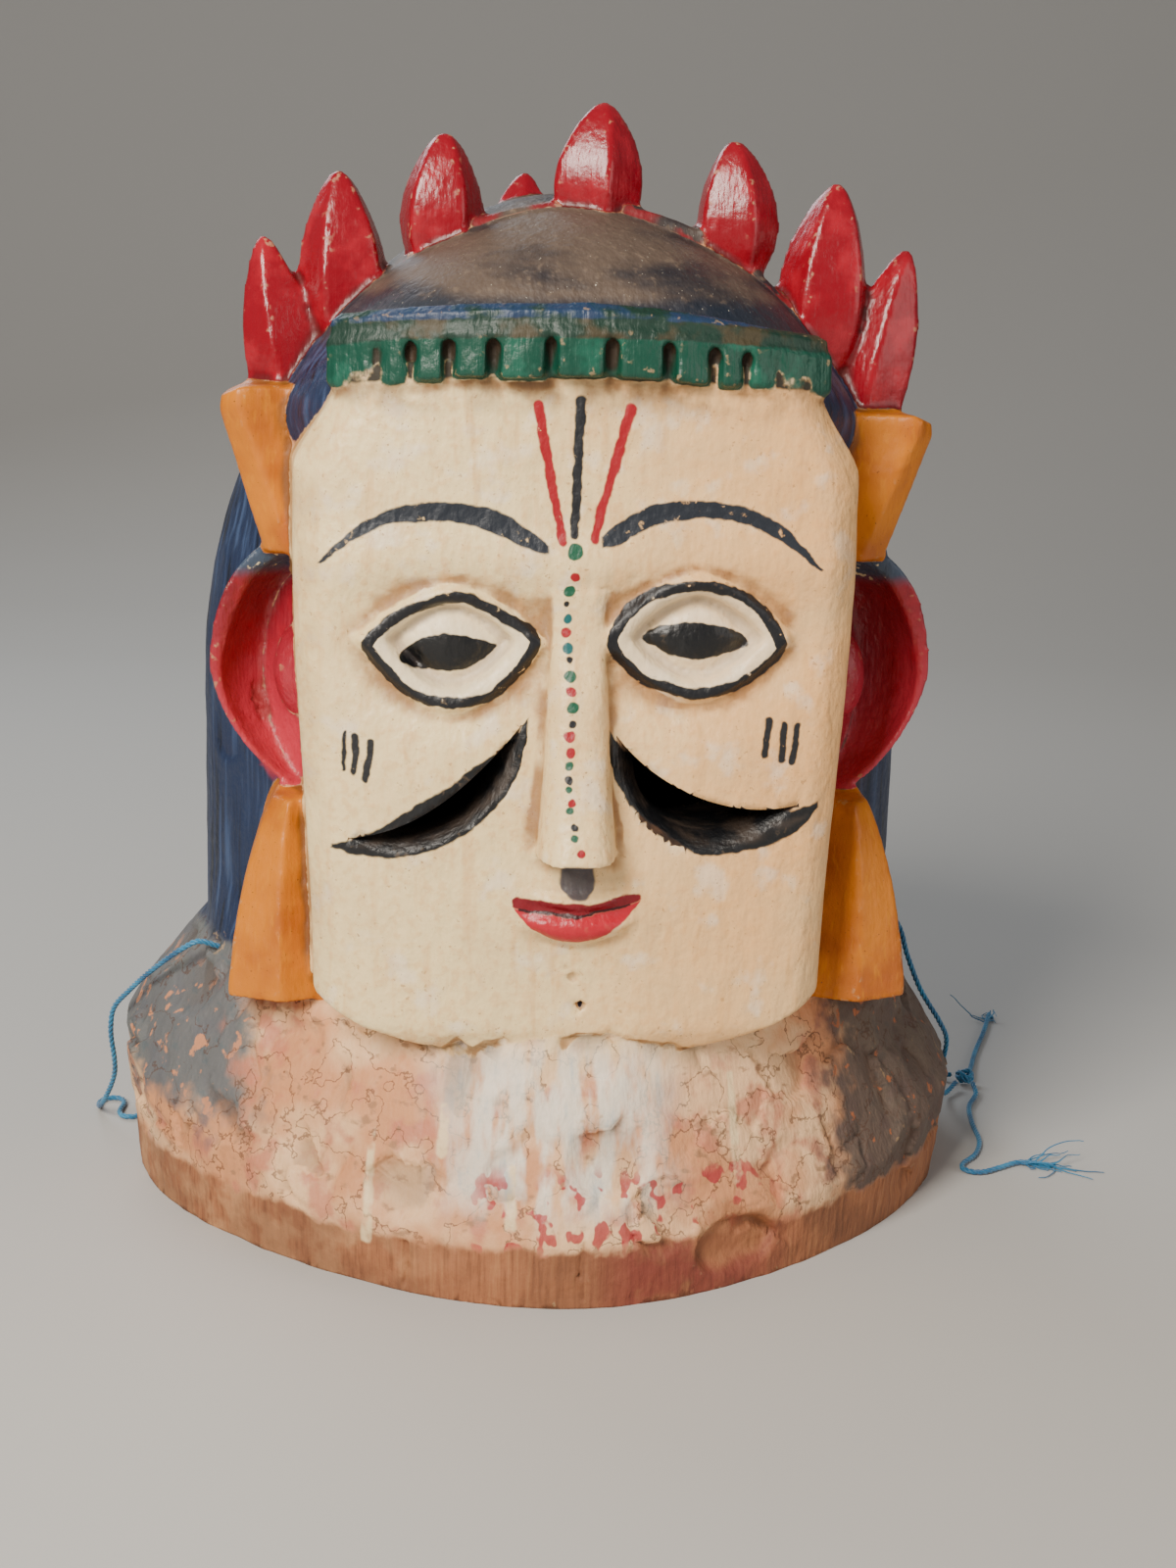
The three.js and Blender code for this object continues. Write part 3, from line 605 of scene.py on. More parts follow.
def make_face():
    def place(u, v, w):
        side = 2 * u - 1
        reach = np.sign(side) * (1 - (1 - np.abs(side)) ** 1.15)
        top = FACE_TOP + BAND_RISE * (1 - side * side)
        x = reach * face_half(mix(NECK_FRONT, top, w))
        z = mix(face_base(x), top, w)
        y = mix(face_point(x, z) - eye_relief(x, z), -FACE_FRONT + FACE_THICKNESS, v)
        return x * (1 + 0.03 * v), y, z

    return make_brick(FACE_COLUMNS, 1, FACE_ROWS, place)


def make_nose():
    top, bottom = up(NOSE_TOP), up(NOSE_FOOT)

    def place(u, v, w):
        side = 2 * u - 1
        half = mix(NOSE_WIDTH / 2, NOSE_WIDTH * 0.3, w ** 0.8)
        flat = (1 - np.abs(side) ** 3.2) ** 0.5
        z = mix(bottom, top, w)
        front = face_point(np.zeros_like(z), z) - mix(NOSE_REACH, 2, w ** 0.9) * flat
        return side * half + 0.5 * (1 - w), np.where(v < 0.5, front, -FACE_FRONT + 16), z

    return make_brick(40, 1, 60, place)


def make_lips():
    def lip(height, rise, reach):
        def place(x, y, z):
            px = across(LIPS_MIDDLE) + x * across(LIPS_HALF)
            pz = up(height) + z * rise * (1 - 0.35 * np.abs(x)) + 4 * x * x
            return px, face_point(px, pz) + 2 + y * reach, pz

        return make_ball(40, 20, place)

    return [lip(*LOWER_LIP), lip(*UPPER_LIP)]


def slit_cutter(slit):
    outer, low1, low2, inner, high2, high1 = [(across(x), up(z)) for x, z in slit]

    def bend(a, b, c, d, t):
        return tuple((1 - t) ** 3 * a[k] + 3 * t * (1 - t) ** 2 * b[k] + 3 * t * t * (1 - t) * c[k]
                     + t ** 3 * d[k] for k in (0, 1))

    points = [bend(outer, low1, low2, inner, i / SLIT_STEPS) for i in range(SLIT_STEPS)]
    points += [bend(inner, high2, high1, outer, i / SLIT_STEPS) for i in range(SLIT_STEPS)]
    centre = np.mean(points, axis=0)
    blank = bmesh.new()
    ring = [blank.verts.new((x, 0, z)) for x, z in points]
    faces = [blank.faces.new(ring)]
    for depth in range(3):
        extruded = bmesh.ops.extrude_face_region(blank, geom=faces)
        if depth:
            bmesh.ops.delete(blank, geom=faces, context="FACES_ONLY")
        faces = [f for f in extruded["geom"] if isinstance(f, bmesh.types.BMFace)]
        moved = [v for v in extruded["geom"] if isinstance(v, bmesh.types.BMVert)]
        bmesh.ops.translate(blank, vec=(0, 1, 0), verts=moved)
    face = float(face_point(np.array([centre[0]]), np.array([centre[1]]))[0])
    depths = np.array([face - 20, face - 1, face + SLIT_BEVEL, face + SLIT_REACH])
    shares = np.array([1.02, 1.0, SLIT_SHRINK, SLIT_SHRINK])

    def place(x, y, z):
        i = np.rint(y).astype(int)
        return mix(centre[0], x, shares[i]), depths[i], mix(centre[1], z, shares[i])

    return carve(blank, place)


# Band of square blocks under a moulding and a thin bead
# It is cut into the edge of the cap over the forehead, and no two blocks are quite alike.
BLOCK_WIDTHS = (15, 7, 10, 10, 12, 14.5, 16, 14.5, 12.5, 8.5, 10, 11, 14.5)
BAND_HEIGHT, BAND_REACH, BLOCK_GAP = 22.5, 9, 3.4
BAND_HALF, BAND_UNEVEN = 0.42 * FACE_WIDTH, 5
BLOCK_SLANT, BLOCK_PLAY = 0.8, 0.008
BAND_TURN, BAND_SWEEP, BAND_BACK, BAND_FALL = 1.05, 38, -62, 12


def band_point(angle, reach):
    wide = BAND_HALF / math.sin(BAND_TURN) + reach
    centre = -FACE_FRONT + BAND_SWEEP
    return wide * np.sin(angle), centre - (BAND_SWEEP + reach) * np.cos(angle)


def band_piece(start, end, reach, bottom, top, columns):
    def place(u, v, w):
        x, y = band_point(mix(start, end, u), reach(u, w))
        z = mix(bottom, top(v), w)
        arch = BAND_RISE * (1 - (x / (BAND_HALF + BAND_REACH)) ** 2)
        uneven = BAND_UNEVEN * np.clip((z - FACE_TOP) / BAND_HEIGHT, 0, 1) * smooth(x / BAND_HALF)
        return x * (1 - 0.12 * v), mix(y, BAND_BACK, v), z + arch - uneven

    return make_brick(columns, 1, 8, place)


def make_band():
    bottom = FACE_TOP - 5
    split = bottom + BAND_HEIGHT * 0.58
    top = bottom + BAND_HEIGHT
    parts = [
        band_piece(-BAND_TURN, BAND_TURN, lambda u, w: BAND_REACH * 0.3 + 0 * u, bottom + 0.5,
                   lambda v: split, 60),
        band_piece(-BAND_TURN, BAND_TURN,
                   lambda u, w: BAND_REACH * 0.9 - 2.4 * w + 0.7 * np.sin(9 * w), split - 0.5,
                   lambda v: top - BAND_FALL * v, 60),
        band_piece(-BAND_TURN, BAND_TURN, lambda u, w: BAND_REACH * 0.5 - 2 * w ** 2 + 0 * u,
                   top - 4, lambda v: top + 1.5 - BAND_FALL * v, 60),
    ]
    turn_per_length = 2 * BAND_TURN / (sum(BLOCK_WIDTHS) + BLOCK_GAP * (len(BLOCK_WIDTHS) - 1))
    start = -BAND_TURN
    for width in BLOCK_WIDTHS:
        end = start + width * turn_per_length
        slant = rng.uniform(-BLOCK_SLANT, BLOCK_SLANT)
        drop = rng.uniform(-BLOCK_SLANT, BLOCK_SLANT)
        parts.append(band_piece(
            start + rng.uniform(0, BLOCK_PLAY), end - rng.uniform(0, BLOCK_PLAY),
            lambda u, w, s=slant: BAND_REACH + s * (u - 0.5) - 0.6 * w - 0.3,
            bottom - 0.6 + drop, lambda v: split + 1, 8))
        start = end + BLOCK_GAP * turn_per_length
    return parts


# Crown: a rib over the cap from ear to ear with lotus buds on it, each cut in five flats
# Three pairs flank the tallest bud, and a small one stands behind.
RIB_FRONT, RIB_BACK, CROWN_SHIFT = -52, -26, 6
# A bud is its foot and its tip, x and z, and its half width
BUD_PAIRS = [
    ((54, 352), (52, BUD_HEIGHT - 12), 15.5),
    ((86, 318), (90, BUD_HEIGHT - 26), 17),
    ((100, 288), (117, BUD_HEIGHT - 49), 14.5),
]
CENTRE_BUD = ((0, 366), (5, BUD_HEIGHT), 17)
BACK_BUD = ((-20, 360), (-20, CROWN_HEIGHT + 14), 11)
BACK_BUD_AT = 32
BUD_FACETS, BUD_LEAN, BUD_FLATNESS = 5, 1.5, 0.85
RIB_TURN, RIB_REACH, RIB_MIDDLE, RIB_THICKNESS = 1.25, 103, 3, 24
RIB_CENTRE, RIB_RISE = 262, CROWN_HEIGHT - 260


def make_bud(bud, side, depth):
    (foot_x, foot_z), (tip_x, tip_z), half = bud
    foot = np.array([CROWN_SHIFT + side * foot_x, foot_z])
    tip = np.array([CROWN_SHIFT + side * tip_x, tip_z])
    along = tip - foot
    cross = np.array([along[1], -along[0]]) / np.hypot(*along)
    facets, twist = BUD_FACETS, rng.uniform(0, 1)
    lean = rng.uniform(-BUD_LEAN, BUD_LEAN)

    def place(x, y, z):
        t = (1 + z) / 2
        fat = half * (1.16 - 0.5 * t ** 1.8 - 0.25 * (1 - t) ** 3)
        turn = (np.arctan2(y, x) / (2 * math.pi) * facets + twist) % 1 - 0.5
        flat = math.cos(math.pi / facets) / np.cos(turn * 2 * math.pi / facets)
        fat = fat * flat / 0.93
        px = foot[0] + along[0] * t + cross[0] * x * fat + lean * np.sin(math.pi * t)
        pz = foot[1] + along[1] * t + cross[1] * x * fat
        return px, depth + y * fat * BUD_FLATNESS, pz

    return make_ball(56, 36, place)


def make_buds():
    depth = (RIB_FRONT + RIB_BACK) / 2
    parts = [make_bud(CENTRE_BUD, 1, depth), make_bud(BACK_BUD, 1, BACK_BUD_AT)]
    for bud in BUD_PAIRS:
        parts += [make_bud(bud, -1, depth), make_bud(bud, 1, depth)]
    return parts


def make_rib():
    def place(u, v, w):
        angle = mix(-RIB_TURN, RIB_TURN, u)
        reach = mix(-RIB_THICKNESS, 0, w)
        x = RIB_MIDDLE + (RIB_REACH + reach) * np.sin(angle)
        z = RIB_CENTRE + (RIB_RISE + reach) * np.cos(angle) ** 0.85
        return x, mix(RIB_FRONT + 5, RIB_BACK, v), z

    return make_brick(70, 6, 4, place)


# Ears: bowls that open forwards, with the small lobe beside the cheek
# A pendant hangs below each ear and a horn-like board stands above it, both with a ridge in front.
EAR_MIDDLE, EAR_INNER, EAR_REACH, EAR_HEIGHT = 214, 72, 134, 98
EAR_FRONT, EAR_DEPTH, EAR_THICKNESS, EAR_SHIFT = -52, 27, 5.5, 3
LOBE_REACH, LOBE_HALF = 29, (10, 11, 17)
PENDANT_REACH, PENDANT_HEIGHT = 127, 75
HORN_REACH, HORN_HEIGHT, HORN_UNEVEN = 131, 57, 3


def make_ear(side):
    def place(x, y, z):
        # the ball's pole looks forwards, so its front half is pushed in to make the bowl
        px, py, pz = x, -z, y
        bowl = py < -0.02
        rim = mix(0.55, 1.35, smooth((pz + 0.5) / 1.2)) * EAR_THICKNESS
        grow = np.where(bowl, -rim, 0.0)
        half = (EAR_REACH - EAR_INNER) / 2 + grow
        low = np.clip(-pz, 0, 1)
        qx = (EAR_REACH + EAR_INNER) / 2 - 9 * low * low + side * px * half * (1 - 0.22 * low)
        deep = np.where(bowl, -py * (EAR_DEPTH - EAR_THICKNESS), py * EAR_DEPTH)
        forward = 3.0 * smooth(pz) * (1 - np.abs(py))
        height = EAR_MIDDLE + pz * (EAR_HEIGHT / 2 + grow)
        return side * qx + EAR_SHIFT, EAR_FRONT + deep - forward, height

    return make_ball(72, 48, place)


def make_lobe(side):
    def place(x, y, z):
        px = side * (EAR_INNER + LOBE_REACH) + EAR_SHIFT + x * LOBE_HALF[0]
        return px, EAR_FRONT + 9 + y * LOBE_HALF[1], EAR_MIDDLE - 2 + z * LOBE_HALF[2]

    return make_ball(32, 24, place)


def make_pendant(side):
    top = EAR_MIDDLE - EAR_HEIGHT / 2 + 4

    def place(u, v, w):
        t = 1 - w
        share = u if side > 0 else 1 - u
        inner = 97 - 10 * t
        outer = mix(PENDANT_REACH - 17, PENDANT_REACH, t ** 0.8) + 2.5 * np.sin(math.pi * t)
        ridge = 9 * (1 - np.abs(2 * u - 1))
        y = mix(-64 - 8 * t - ridge, -34, v)
        return side * mix(inner, outer, share) + EAR_SHIFT, y, mix(top - PENDANT_HEIGHT, top, w)

    return make_brick(20, 1, 30, place)


def make_horn(side):
    tall = HORN_HEIGHT - HORN_UNEVEN * side
    bottom = EAR_MIDDLE + EAR_HEIGHT / 2 - 6

    def place(u, v, w):
        share = u if side > 0 else 1 - u
        outer = mix(HORN_REACH - 18, HORN_REACH, w) - 3 * smooth((w - 0.85) / 0.15)
        fold = mix(0.6, 0.85, w)
        ridge = 7 * np.where(share < fold, share / fold, (1 - share) / (1 - fold))
        round_off = 3 * smooth((share - 0.75) / 0.25) * smooth((w - 0.8) / 0.2)
        z = mix(bottom, bottom + tall, w) - round_off
        return side * mix(90, outer, share) + EAR_SHIFT, mix(-58 - 3 * w - ridge, -36, v), z

    return make_brick(20, 1, 24, place)


# All of the outside is carved from one block, so its parts are laid together and fused into one
# skin, which is then smoothed a little, like worn gesso.
FUSING_STEP = 1.45
BODY_SIDES, BODY_SPACING = 260, 3.0
PARTS = {
    "body": [make_drum(outer_stations(), BODY_SIDES, BODY_SPACING)],
    "face": [make_face(), make_nose(), *make_lips()],
    "band": make_band(),
    "buds": make_buds(),
    "rib": [make_rib()],
    "ears": [make_ear(-1), make_ear(1), make_lobe(-1), make_lobe(1)],
    "boards": [make_pendant(-1), make_pendant(1), make_horn(-1), make_horn(1)],
}


def mesh_from(blanks, name, scale):
    joined = bmesh.new()
    for blank in blanks:
        piece = bpy.data.meshes.new("blank")
        blank.to_mesh(piece)
        joined.from_mesh(piece)
        bpy.data.meshes.remove(piece)
    bmesh.ops.scale(joined, vec=(scale, scale, scale), verts=joined.verts)
    mesh = bpy.data.meshes.new(name)
    joined.to_mesh(mesh)
    joined.free()
    return mesh


def applied(mesh_object):
    """The object's mesh with its modifiers made real."""
    mesh = bpy.data.meshes.new_from_object(
        mesh_object.evaluated_get(bpy.context.evaluated_depsgraph_get()))
    mesh_object.modifiers.clear()
    mesh_object.data = mesh


def points_of(mesh):
    flat = np.empty(len(mesh.vertices) * 3)
    mesh.vertices.foreach_get("co", flat)
    return flat.reshape(-1, 3)


def normals_of(mesh):
    flat = np.empty(len(mesh.vertices) * 3)
    mesh.vertex_normals.foreach_get("vector", flat)
    return flat.reshape(-1, 3)


def smoothed(values, mesh, rounds, strength):
    """Values at the points, evened out with their neighbours'."""
    pairs = np.empty(len(mesh.edges) * 2, dtype=np.int32)
    mesh.edges.foreach_get("vertices", pairs)
    a, b = pairs[0::2], pairs[1::2]
    count = np.bincount(pairs, minlength=len(mesh.vertices)).reshape(-1, 1)
    for _ in range(rounds):
        total = np.stack([
            np.bincount(a, weights=values[b, k], minlength=len(values))
            + np.bincount(b, weights=values[a, k], minlength=len(values))
            for k in range(values.shape[1])], axis=1)
        values = mix(values, total / count, strength)
    return values


mask = bpy.data.objects.new("helmet_mask", mesh_from(sum(PARTS.values(), []), "helmet_mask", MM))
bpy.context.collection.objects.link(mask)
fusing = mask.modifiers.new("fusing", "REMESH")
fusing.mode = "VOXEL"
fusing.voxel_size = FUSING_STEP * MM
applied(mask)

# Hand carving: uneven surfaces, flats left by the adze, cracks and pits
# The collar is left rougher than the head, and the front of the face is the smoothest.
points = points_of(mask.data) / MM
points = smoothed(points, mask.data, 2, 0.5)
normals = normals_of(mask.data)


def ripple(size, seed):
    shift = Vector((seed * 7.1, seed * 3.3, seed * 5.7))
    return np.array([noise.noise(Vector(p) / size + shift) for p in points])


def adze(centre, facing, depth, reach):
    """Flattens what stands above a plane laid a little under the surface at a point."""
    offset = points - centre
    above = offset @ facing + depth
    near = smooth((reach - np.linalg.norm(offset, axis=1)) / (0.35 * reach))
    cut = np.where((above > 0) & (above < 3 * depth), above, 0) * near
    points[:] -= cut[:, None] * facing


COLLAR_TOP, FACE_FOOT = 100, 92
HEAD_ROUGHNESS, COLLAR_ROUGHNESS, FACE_SMOOTHNESS = 0.55, 1.5, 0.45
low = points[:, 2]
on_collar = smooth((COLLAR_TOP - low) / 16) * smooth((points[:, 1] + 150) / 4)
faces_forward = smooth((-70 - points[:, 1]) / 20)
on_slab = faces_forward * smooth((low - FACE_FOOT) / 10) * smooth((FACE_TOP + 4 - low) / 6)
rough = mix(HEAD_ROUGHNESS, COLLAR_ROUGHNESS, on_collar) * (1 - FACE_SMOOTHNESS * on_slab)
points -= normals * (rough * (0.9 * np.abs(ripple(26, 1)) + 0.35 * np.abs(ripple(7, 2))))[:, None]
COLLAR_FLATS, COLLAR_CUT, COLLAR_CUT_REACH, COLLAR_TILT = 120, (0.5, 1.3), (10, 22), 0.13
HEAD_FLATS, HEAD_CUT, HEAD_CUT_REACH = 130, (0.3, 0.7), (10, 20)
collar_points = np.flatnonzero((on_collar > 0.6) & (low > 22) & (points[:, 1] < 60))
for index in rng.choice(collar_points, COLLAR_FLATS, replace=False):
    tilt = normals[index] + rng.normal(0, COLLAR_TILT, 3)
    facing = tilt / np.linalg.norm(tilt)
    adze(points[index], facing, rng.uniform(*COLLAR_CUT), rng.uniform(*COLLAR_CUT_REACH))
head_points = np.flatnonzero((low > 110) & (points[:, 1] > -40) & (low < 375))
for index in rng.choice(head_points, HEAD_FLATS, replace=False):
    adze(points[index], normals[index], rng.uniform(*HEAD_CUT), rng.uniform(*HEAD_CUT_REACH))

# Cracks of the collar, x and z, from the upper end down
CRACKS = [
    [(-112, 92), (-114, 82), (-116, 72), (-113, 62)],
    [(-108, 106), (-113, 98), (-118, 86), (-124, 78)],
    [(-74, 96), (-66, 90), (-57, 88), (-48, 82)],
    [(5, 24), (4, 12), (5, 3)],
    [(-58, 19), (-57, 10), (-58, 3)],
]
CRACK_DEPTH, CRACK_REACH = 1.8, 1.6
for crack in CRACKS:
    for (x0, z0), (x1, z1) in zip(crack, crack[1:]):
        along = np.array([x1 - x0, z1 - z0])
        off = points[:, [0, 2]] - np.array([x0, z0])
        share = np.clip(off @ along / (along @ along), 0, 1)
        gap = np.linalg.norm(off - share[:, None] * along, axis=1)
        deep = CRACK_DEPTH * smooth(1 - gap / CRACK_REACH) * ((points[:, 1] < 20) & (low < FACE_FOOT))
        points -= normals * deep[:, None]

# Pits under the lip and the small hole in the chin, each its x, z, reach and depth, and then the
# knot in the rim
PITS = [(0.5, 115.5, 3.0, 1.6), (3.6, 104.6, 2.4, 6.0), (8, 83, 2.0, 2.0), (-1.5, 119, 1.6, 1.2)]
for x, z, reach, depth in PITS:
    gap = np.hypot(points[:, 0] - x, points[:, 2] - z)
    points[:, 1] += depth * smooth(1 - gap / reach) * (points[:, 1] < -90)
KNOT_HOLE, KNOT_HALF, KNOT_DEPTH = (62.0, 15.0), (16, 12), 4.5
knot_gap = np.hypot((points[:, 0] - KNOT_HOLE[0]) / KNOT_HALF[0],
                    (points[:, 2] - KNOT_HOLE[1]) / KNOT_HALF[1])
in_knot = smooth((1.05 - knot_gap) / 0.25) * (points[:, 1] < -60)
points -= normals * (KNOT_DEPTH * in_knot * smooth((low - 3) / 10))[:, None]

# The carving never leaves the block
SKIN_LOW, SKIN_HIGH = (-172.8, -139.8, UNDER_FLOOR), (168.8, 139.8, BUD_HEIGHT - 0.2)
points = np.clip(points, SKIN_LOW, SKIN_HIGH)
mask.data.vertices.foreach_set("co", (points * MM).ravel())
mask.data.update()

# The skin is thinned where it is plain, then cut level below, hollowed from there, and pierced by
# the crescents and the two cord holes
THINNED_TO = 0.31
thinning = mask.modifiers.new("thinning", "DECIMATE")
thinning.ratio = THINNED_TO
thinning.use_collapse_triangulate = True
applied(mask)

LEFT_HOLE = ((-134.5, -18, 98.5), (-0.86, -0.24, 0.45))
RIGHT_HOLE = ((139.5, 25, 97), (0.9, 0, 0.43))
HOLE_LENGTH, HOLE_SIDES = 80, 24
HOLLOW_SIDES, HOLLOW_SPACING = 120, 6.0
GOUGE_MARKS = 0.9


def hole_cutter(place, outwards):
    blank = bmesh.new()
    turn = Vector((0, 0, 1)).rotation_difference(Vector(outwards)).to_matrix().to_4x4()
    bmesh.ops.create_cone(blank, cap_ends=True, segments=HOLE_SIDES, radius1=CORD_HOLE / 2,
                          radius2=CORD_HOLE / 2, depth=HOLE_LENGTH,
                          matrix=Matrix.Translation(place) @ turn)
    return blank


HOLLOW = make_drum(inner_stations(), HOLLOW_SIDES, HOLLOW_SPACING)
hollow_shift = np.array([noise.noise(v.co / 11) + 0.6 * noise.noise(v.co / 34) for v in HOLLOW.verts])
for vert, shift in zip(HOLLOW.verts, hollow_shift):
    vert.co -= vert.normal * (GOUGE_MARKS + GOUGE_MARKS * shift)
under_floor = make_brick(1, 1, 1, lambda u, v, w: (mix(-300, 300, u), mix(-300, 300, v), -40 * (1 - w)))
CUTTERS = {
    "floor": [under_floor],
    "hollow": [HOLLOW],
    "slits": [slit_cutter(slit) for slit in SLITS],
    "holes": [hole_cutter(*LEFT_HOLE), hole_cutter(*RIGHT_HOLE)],
}
for name, blanks in CUTTERS.items():
    cutter = bpy.data.objects.new(name, mesh_from(blanks, name, MM))
    bpy.context.collection.objects.link(cutter)
    cutting = mask.modifiers.new("cutting", "BOOLEAN")
    cutting.operation = "DIFFERENCE"
    cutting.solver = "MANIFOLD"
    cutting.object = cutter
    applied(mask)
    bpy.data.objects.remove(cutter)

mask.data.shade_smooth()
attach(mask, "root")
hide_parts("mask")

# Guides for the painter: how much nearer a spot is to one carved part than to the rest,
# in millimetres, and how hollow the surface is around it
GUIDE_REACH, CREASE_REACH, CREASE_ROUNDS = 12, 2, 10


def nearness(blanks):
    piece = bmesh.new()
    piece.from_mesh(mesh_from(blanks, "guide", 1.0))
    tree = BVHTree.FromBMesh(piece)
    piece.free()
    return tree


def store_guide(name, values):
    guide = mask.data.attributes.new(name, "FLOAT", "POINT")
    guide.data.foreach_set("value", np.asarray(values, dtype=np.float32).ravel())


points = points_of(mask.data) / MM
spots = [Vector(p) for p in points]
trees = {name: nearness(blanks) for name, blanks in PARTS.items()}
trees["hollow"] = nearness([HOLLOW])
trees["slits"] = nearness([slit_cutter(slit) for slit in SLITS])
gaps = np.array([[tree.find_nearest(spot)[3] for spot in spots] for tree in trees.values()])
for row, name in enumerate(trees):
    rest = np.delete(gaps, row, axis=0).min(axis=0)
    lead = np.clip(rest - gaps[row], -GUIDE_REACH, GUIDE_REACH)
    store_guide("on_" + name, smoothed(lead[:, None], mask.data, 1, 0.5))
evened = smoothed(points, mask.data, CREASE_ROUNDS, 0.5)
crease = np.clip(np.sum((evened - points) * normals_of(mask.data), axis=1), -CREASE_REACH, CREASE_REACH)
store_guide("crease", smoothed(crease[:, None], mask.data, 1, 0.5))

# Paint of the mask
# Cream face with black, crimson and blue-grey strokes, green band, crimson buds and ears,
# orange boards, slate hair, and a collar that is worn down to the wood.
paint = bpy.data.materials.new("painted_wood")
paint.use_nodes = True
paint_nodes = paint.node_tree.nodes
paint_link = paint.node_tree.links.new
paint_shader = paint_nodes["Principled BSDF"]


def add(kind, *inputs, **settings):
    """A node of the paint, its inputs filled in order by a value or a link."""
    node = paint_nodes.new("ShaderNode" + kind)
    for name, value in settings.items():
        setattr(node, name, value)
    for socket, value in zip(node.inputs, inputs):
        if isinstance(value, bpy.types.NodeSocket):
            paint_link(value, socket)
        elif value is not None:
            socket.default_value = value
    return node


def calc(operation, *values):
    return add("Math", *values, operation=operation).outputs[0]


def vector(operation, *values):
    outputs = add("VectorMath", *values, operation=operation).outputs
    return outputs["Value"] if operation in ("DISTANCE", "DOT_PRODUCT") else outputs["Vector"]


def edge(value, start, end):
    return add("MapRange", value, start, end, 0.0, 1.0,
               interpolation_type="SMOOTHSTEP").outputs[0]


def tint(code):
    """A linear colour from six screen-colour digits."""
    parts = [int(code[i:i + 2], 16) / 255 for i in (0, 2, 4)]
    return (*[((c + 0.055) / 1.055) ** 2.4 if c > 0.04 else c / 12.92 for c in parts], 1.0)


def over(below, above, amount):
    return add("MixRGB", amount, below, above).outputs[0]


def both(*amounts):
    total = amounts[0]
    for amount in amounts[1:]:
        total = calc("MULTIPLY", total, amount)
    return total


spot = vector("MULTIPLY", add("TexCoord").outputs["Object"], (1000.0, 1000.0, 1000.0))
spot_parts = add("SeparateXYZ", spot).outputs


def noise_at(size, detail=2.0, stretch=(1, 1, 1), seed=0):
    scale = tuple(share / size for share in stretch)
    place = vector("MULTIPLY_ADD", spot, scale, (seed * 3.7, seed * 1.9, seed * 5.3))
    return add("TexNoise", place, None, 1.0, detail).outputs[0]


# The brush wanders by about a millimetre, and the border of a paint runs ragged
HAND, RAGGED = 2.2, 2.4
x = calc("ADD", spot_parts[0], calc("MULTIPLY", calc("SUBTRACT", noise_at(5, 2, seed=1), 0.5), HAND))
z = calc("ADD", spot_parts[2], calc("MULTIPLY", calc("SUBTRACT", noise_at(5, 2, seed=2), 0.5), HAND))
y = spot_parts[1]
flat_spot = add("CombineXYZ", x, 0.0, z).outputs[0]
guides = {name: add("Attribute", attribute_name=name).outputs["Fac"]
          for name in ["crease"] + ["on_" + part for part in trees]}
ragged = calc("MULTIPLY", calc("SUBTRACT", noise_at(4, 3, seed=3), 0.5), RAGGED)


def region(name, soft=0.5):
    return edge(calc("ADD", guides["on_" + name], ragged), -soft, soft)


def height_over_x(ends):
    """The height of a drawn edge over x, as a curve through its spots."""
    xs, zs = [p[0] for p in ends], [p[1] for p in ends]
    low, high = min(zs), max(zs)
    along = add("MapRange", x, xs[0], xs[-1], 0.0, 1.0).outputs[0]
    node = add("FloatCurve", 1.0, along)
    curve = node.mapping.curves[0].points
    shares = [((a - xs[0]) / (xs[-1] - xs[0]), (b - low) / (high - low)) for a, b in ends]
    curve[0].location, curve[1].location = shares[0], shares[-1]
    for share in shares[1:-1]:
        curve.new(*share)
    node.mapping.update()
    return calc("MULTIPLY_ADD", node.outputs[0], high - low, low)


def filled(upper, lower):
    """How far a spot lies within a shape drawn by its upper and lower edge."""
    left, right = min(upper[0][0], lower[0][0]), max(upper[-1][0], lower[-1][0])
    inside = calc("MINIMUM", calc("SUBTRACT", height_over_x(upper), z),
                  calc("SUBTRACT", z, height_over_x(lower)))
    across_it = calc("MINIMUM", calc("SUBTRACT", x, left), calc("SUBTRACT", right, x))
    return calc("MINIMUM", inside, across_it)


def moved(ends, by):
    """An edge moved sideways, up when the distance is positive."""
    spots_there = np.array(ends, dtype=float)
    run = np.gradient(spots_there, axis=0)
    side = np.stack([-run[:, 1], run[:, 0]], axis=1)
    shifted = spots_there + by * side / np.linalg.norm(side, axis=1)[:, None]
    return [tuple(p) for p in shifted[np.argsort(shifted[:, 0])]]


def ring(upper, lower, half):
    outer = filled(moved(upper, half), moved(lower, -half))
    inner = filled(moved(upper, -half), moved(lower, half))
    return calc("MINIMUM", outer, calc("MULTIPLY", inner, -1.0))


def stroke(start, end, half_start, half_end):
    """How far a spot lies within a straight brush stroke."""
    first = (start[0], 0.0, start[1])
    run = (end[0] - start[0], 0.0, end[1] - start[1])
    length = run[0] ** 2 + run[2] ** 2
    offset = vector("SUBTRACT", flat_spot, first)
    share = vector("DOT_PRODUCT", offset, tuple(c / length for c in run))
    share = calc("MINIMUM", calc("MAXIMUM", share, 0.0), 1.0)
    nearest = vector("MULTIPLY", add("CombineXYZ", share, share, share).outputs[0], run)
    half = calc("MULTIPLY_ADD", share, half_end - half_start, half_start)
    return calc("SUBTRACT", half, vector("DISTANCE", offset, nearest))


finish = {"colour": tint("a98562"), "rough": (0.78, 0.78, 0.78, 1.0)}


def coat(amount, colour, rough):
    """Lays one paint or stain over what is there."""
    finish["colour"] = over(finish["colour"], colour, amount)
    finish["rough"] = over(finish["rough"], (rough, rough, rough, 1.0), amount)


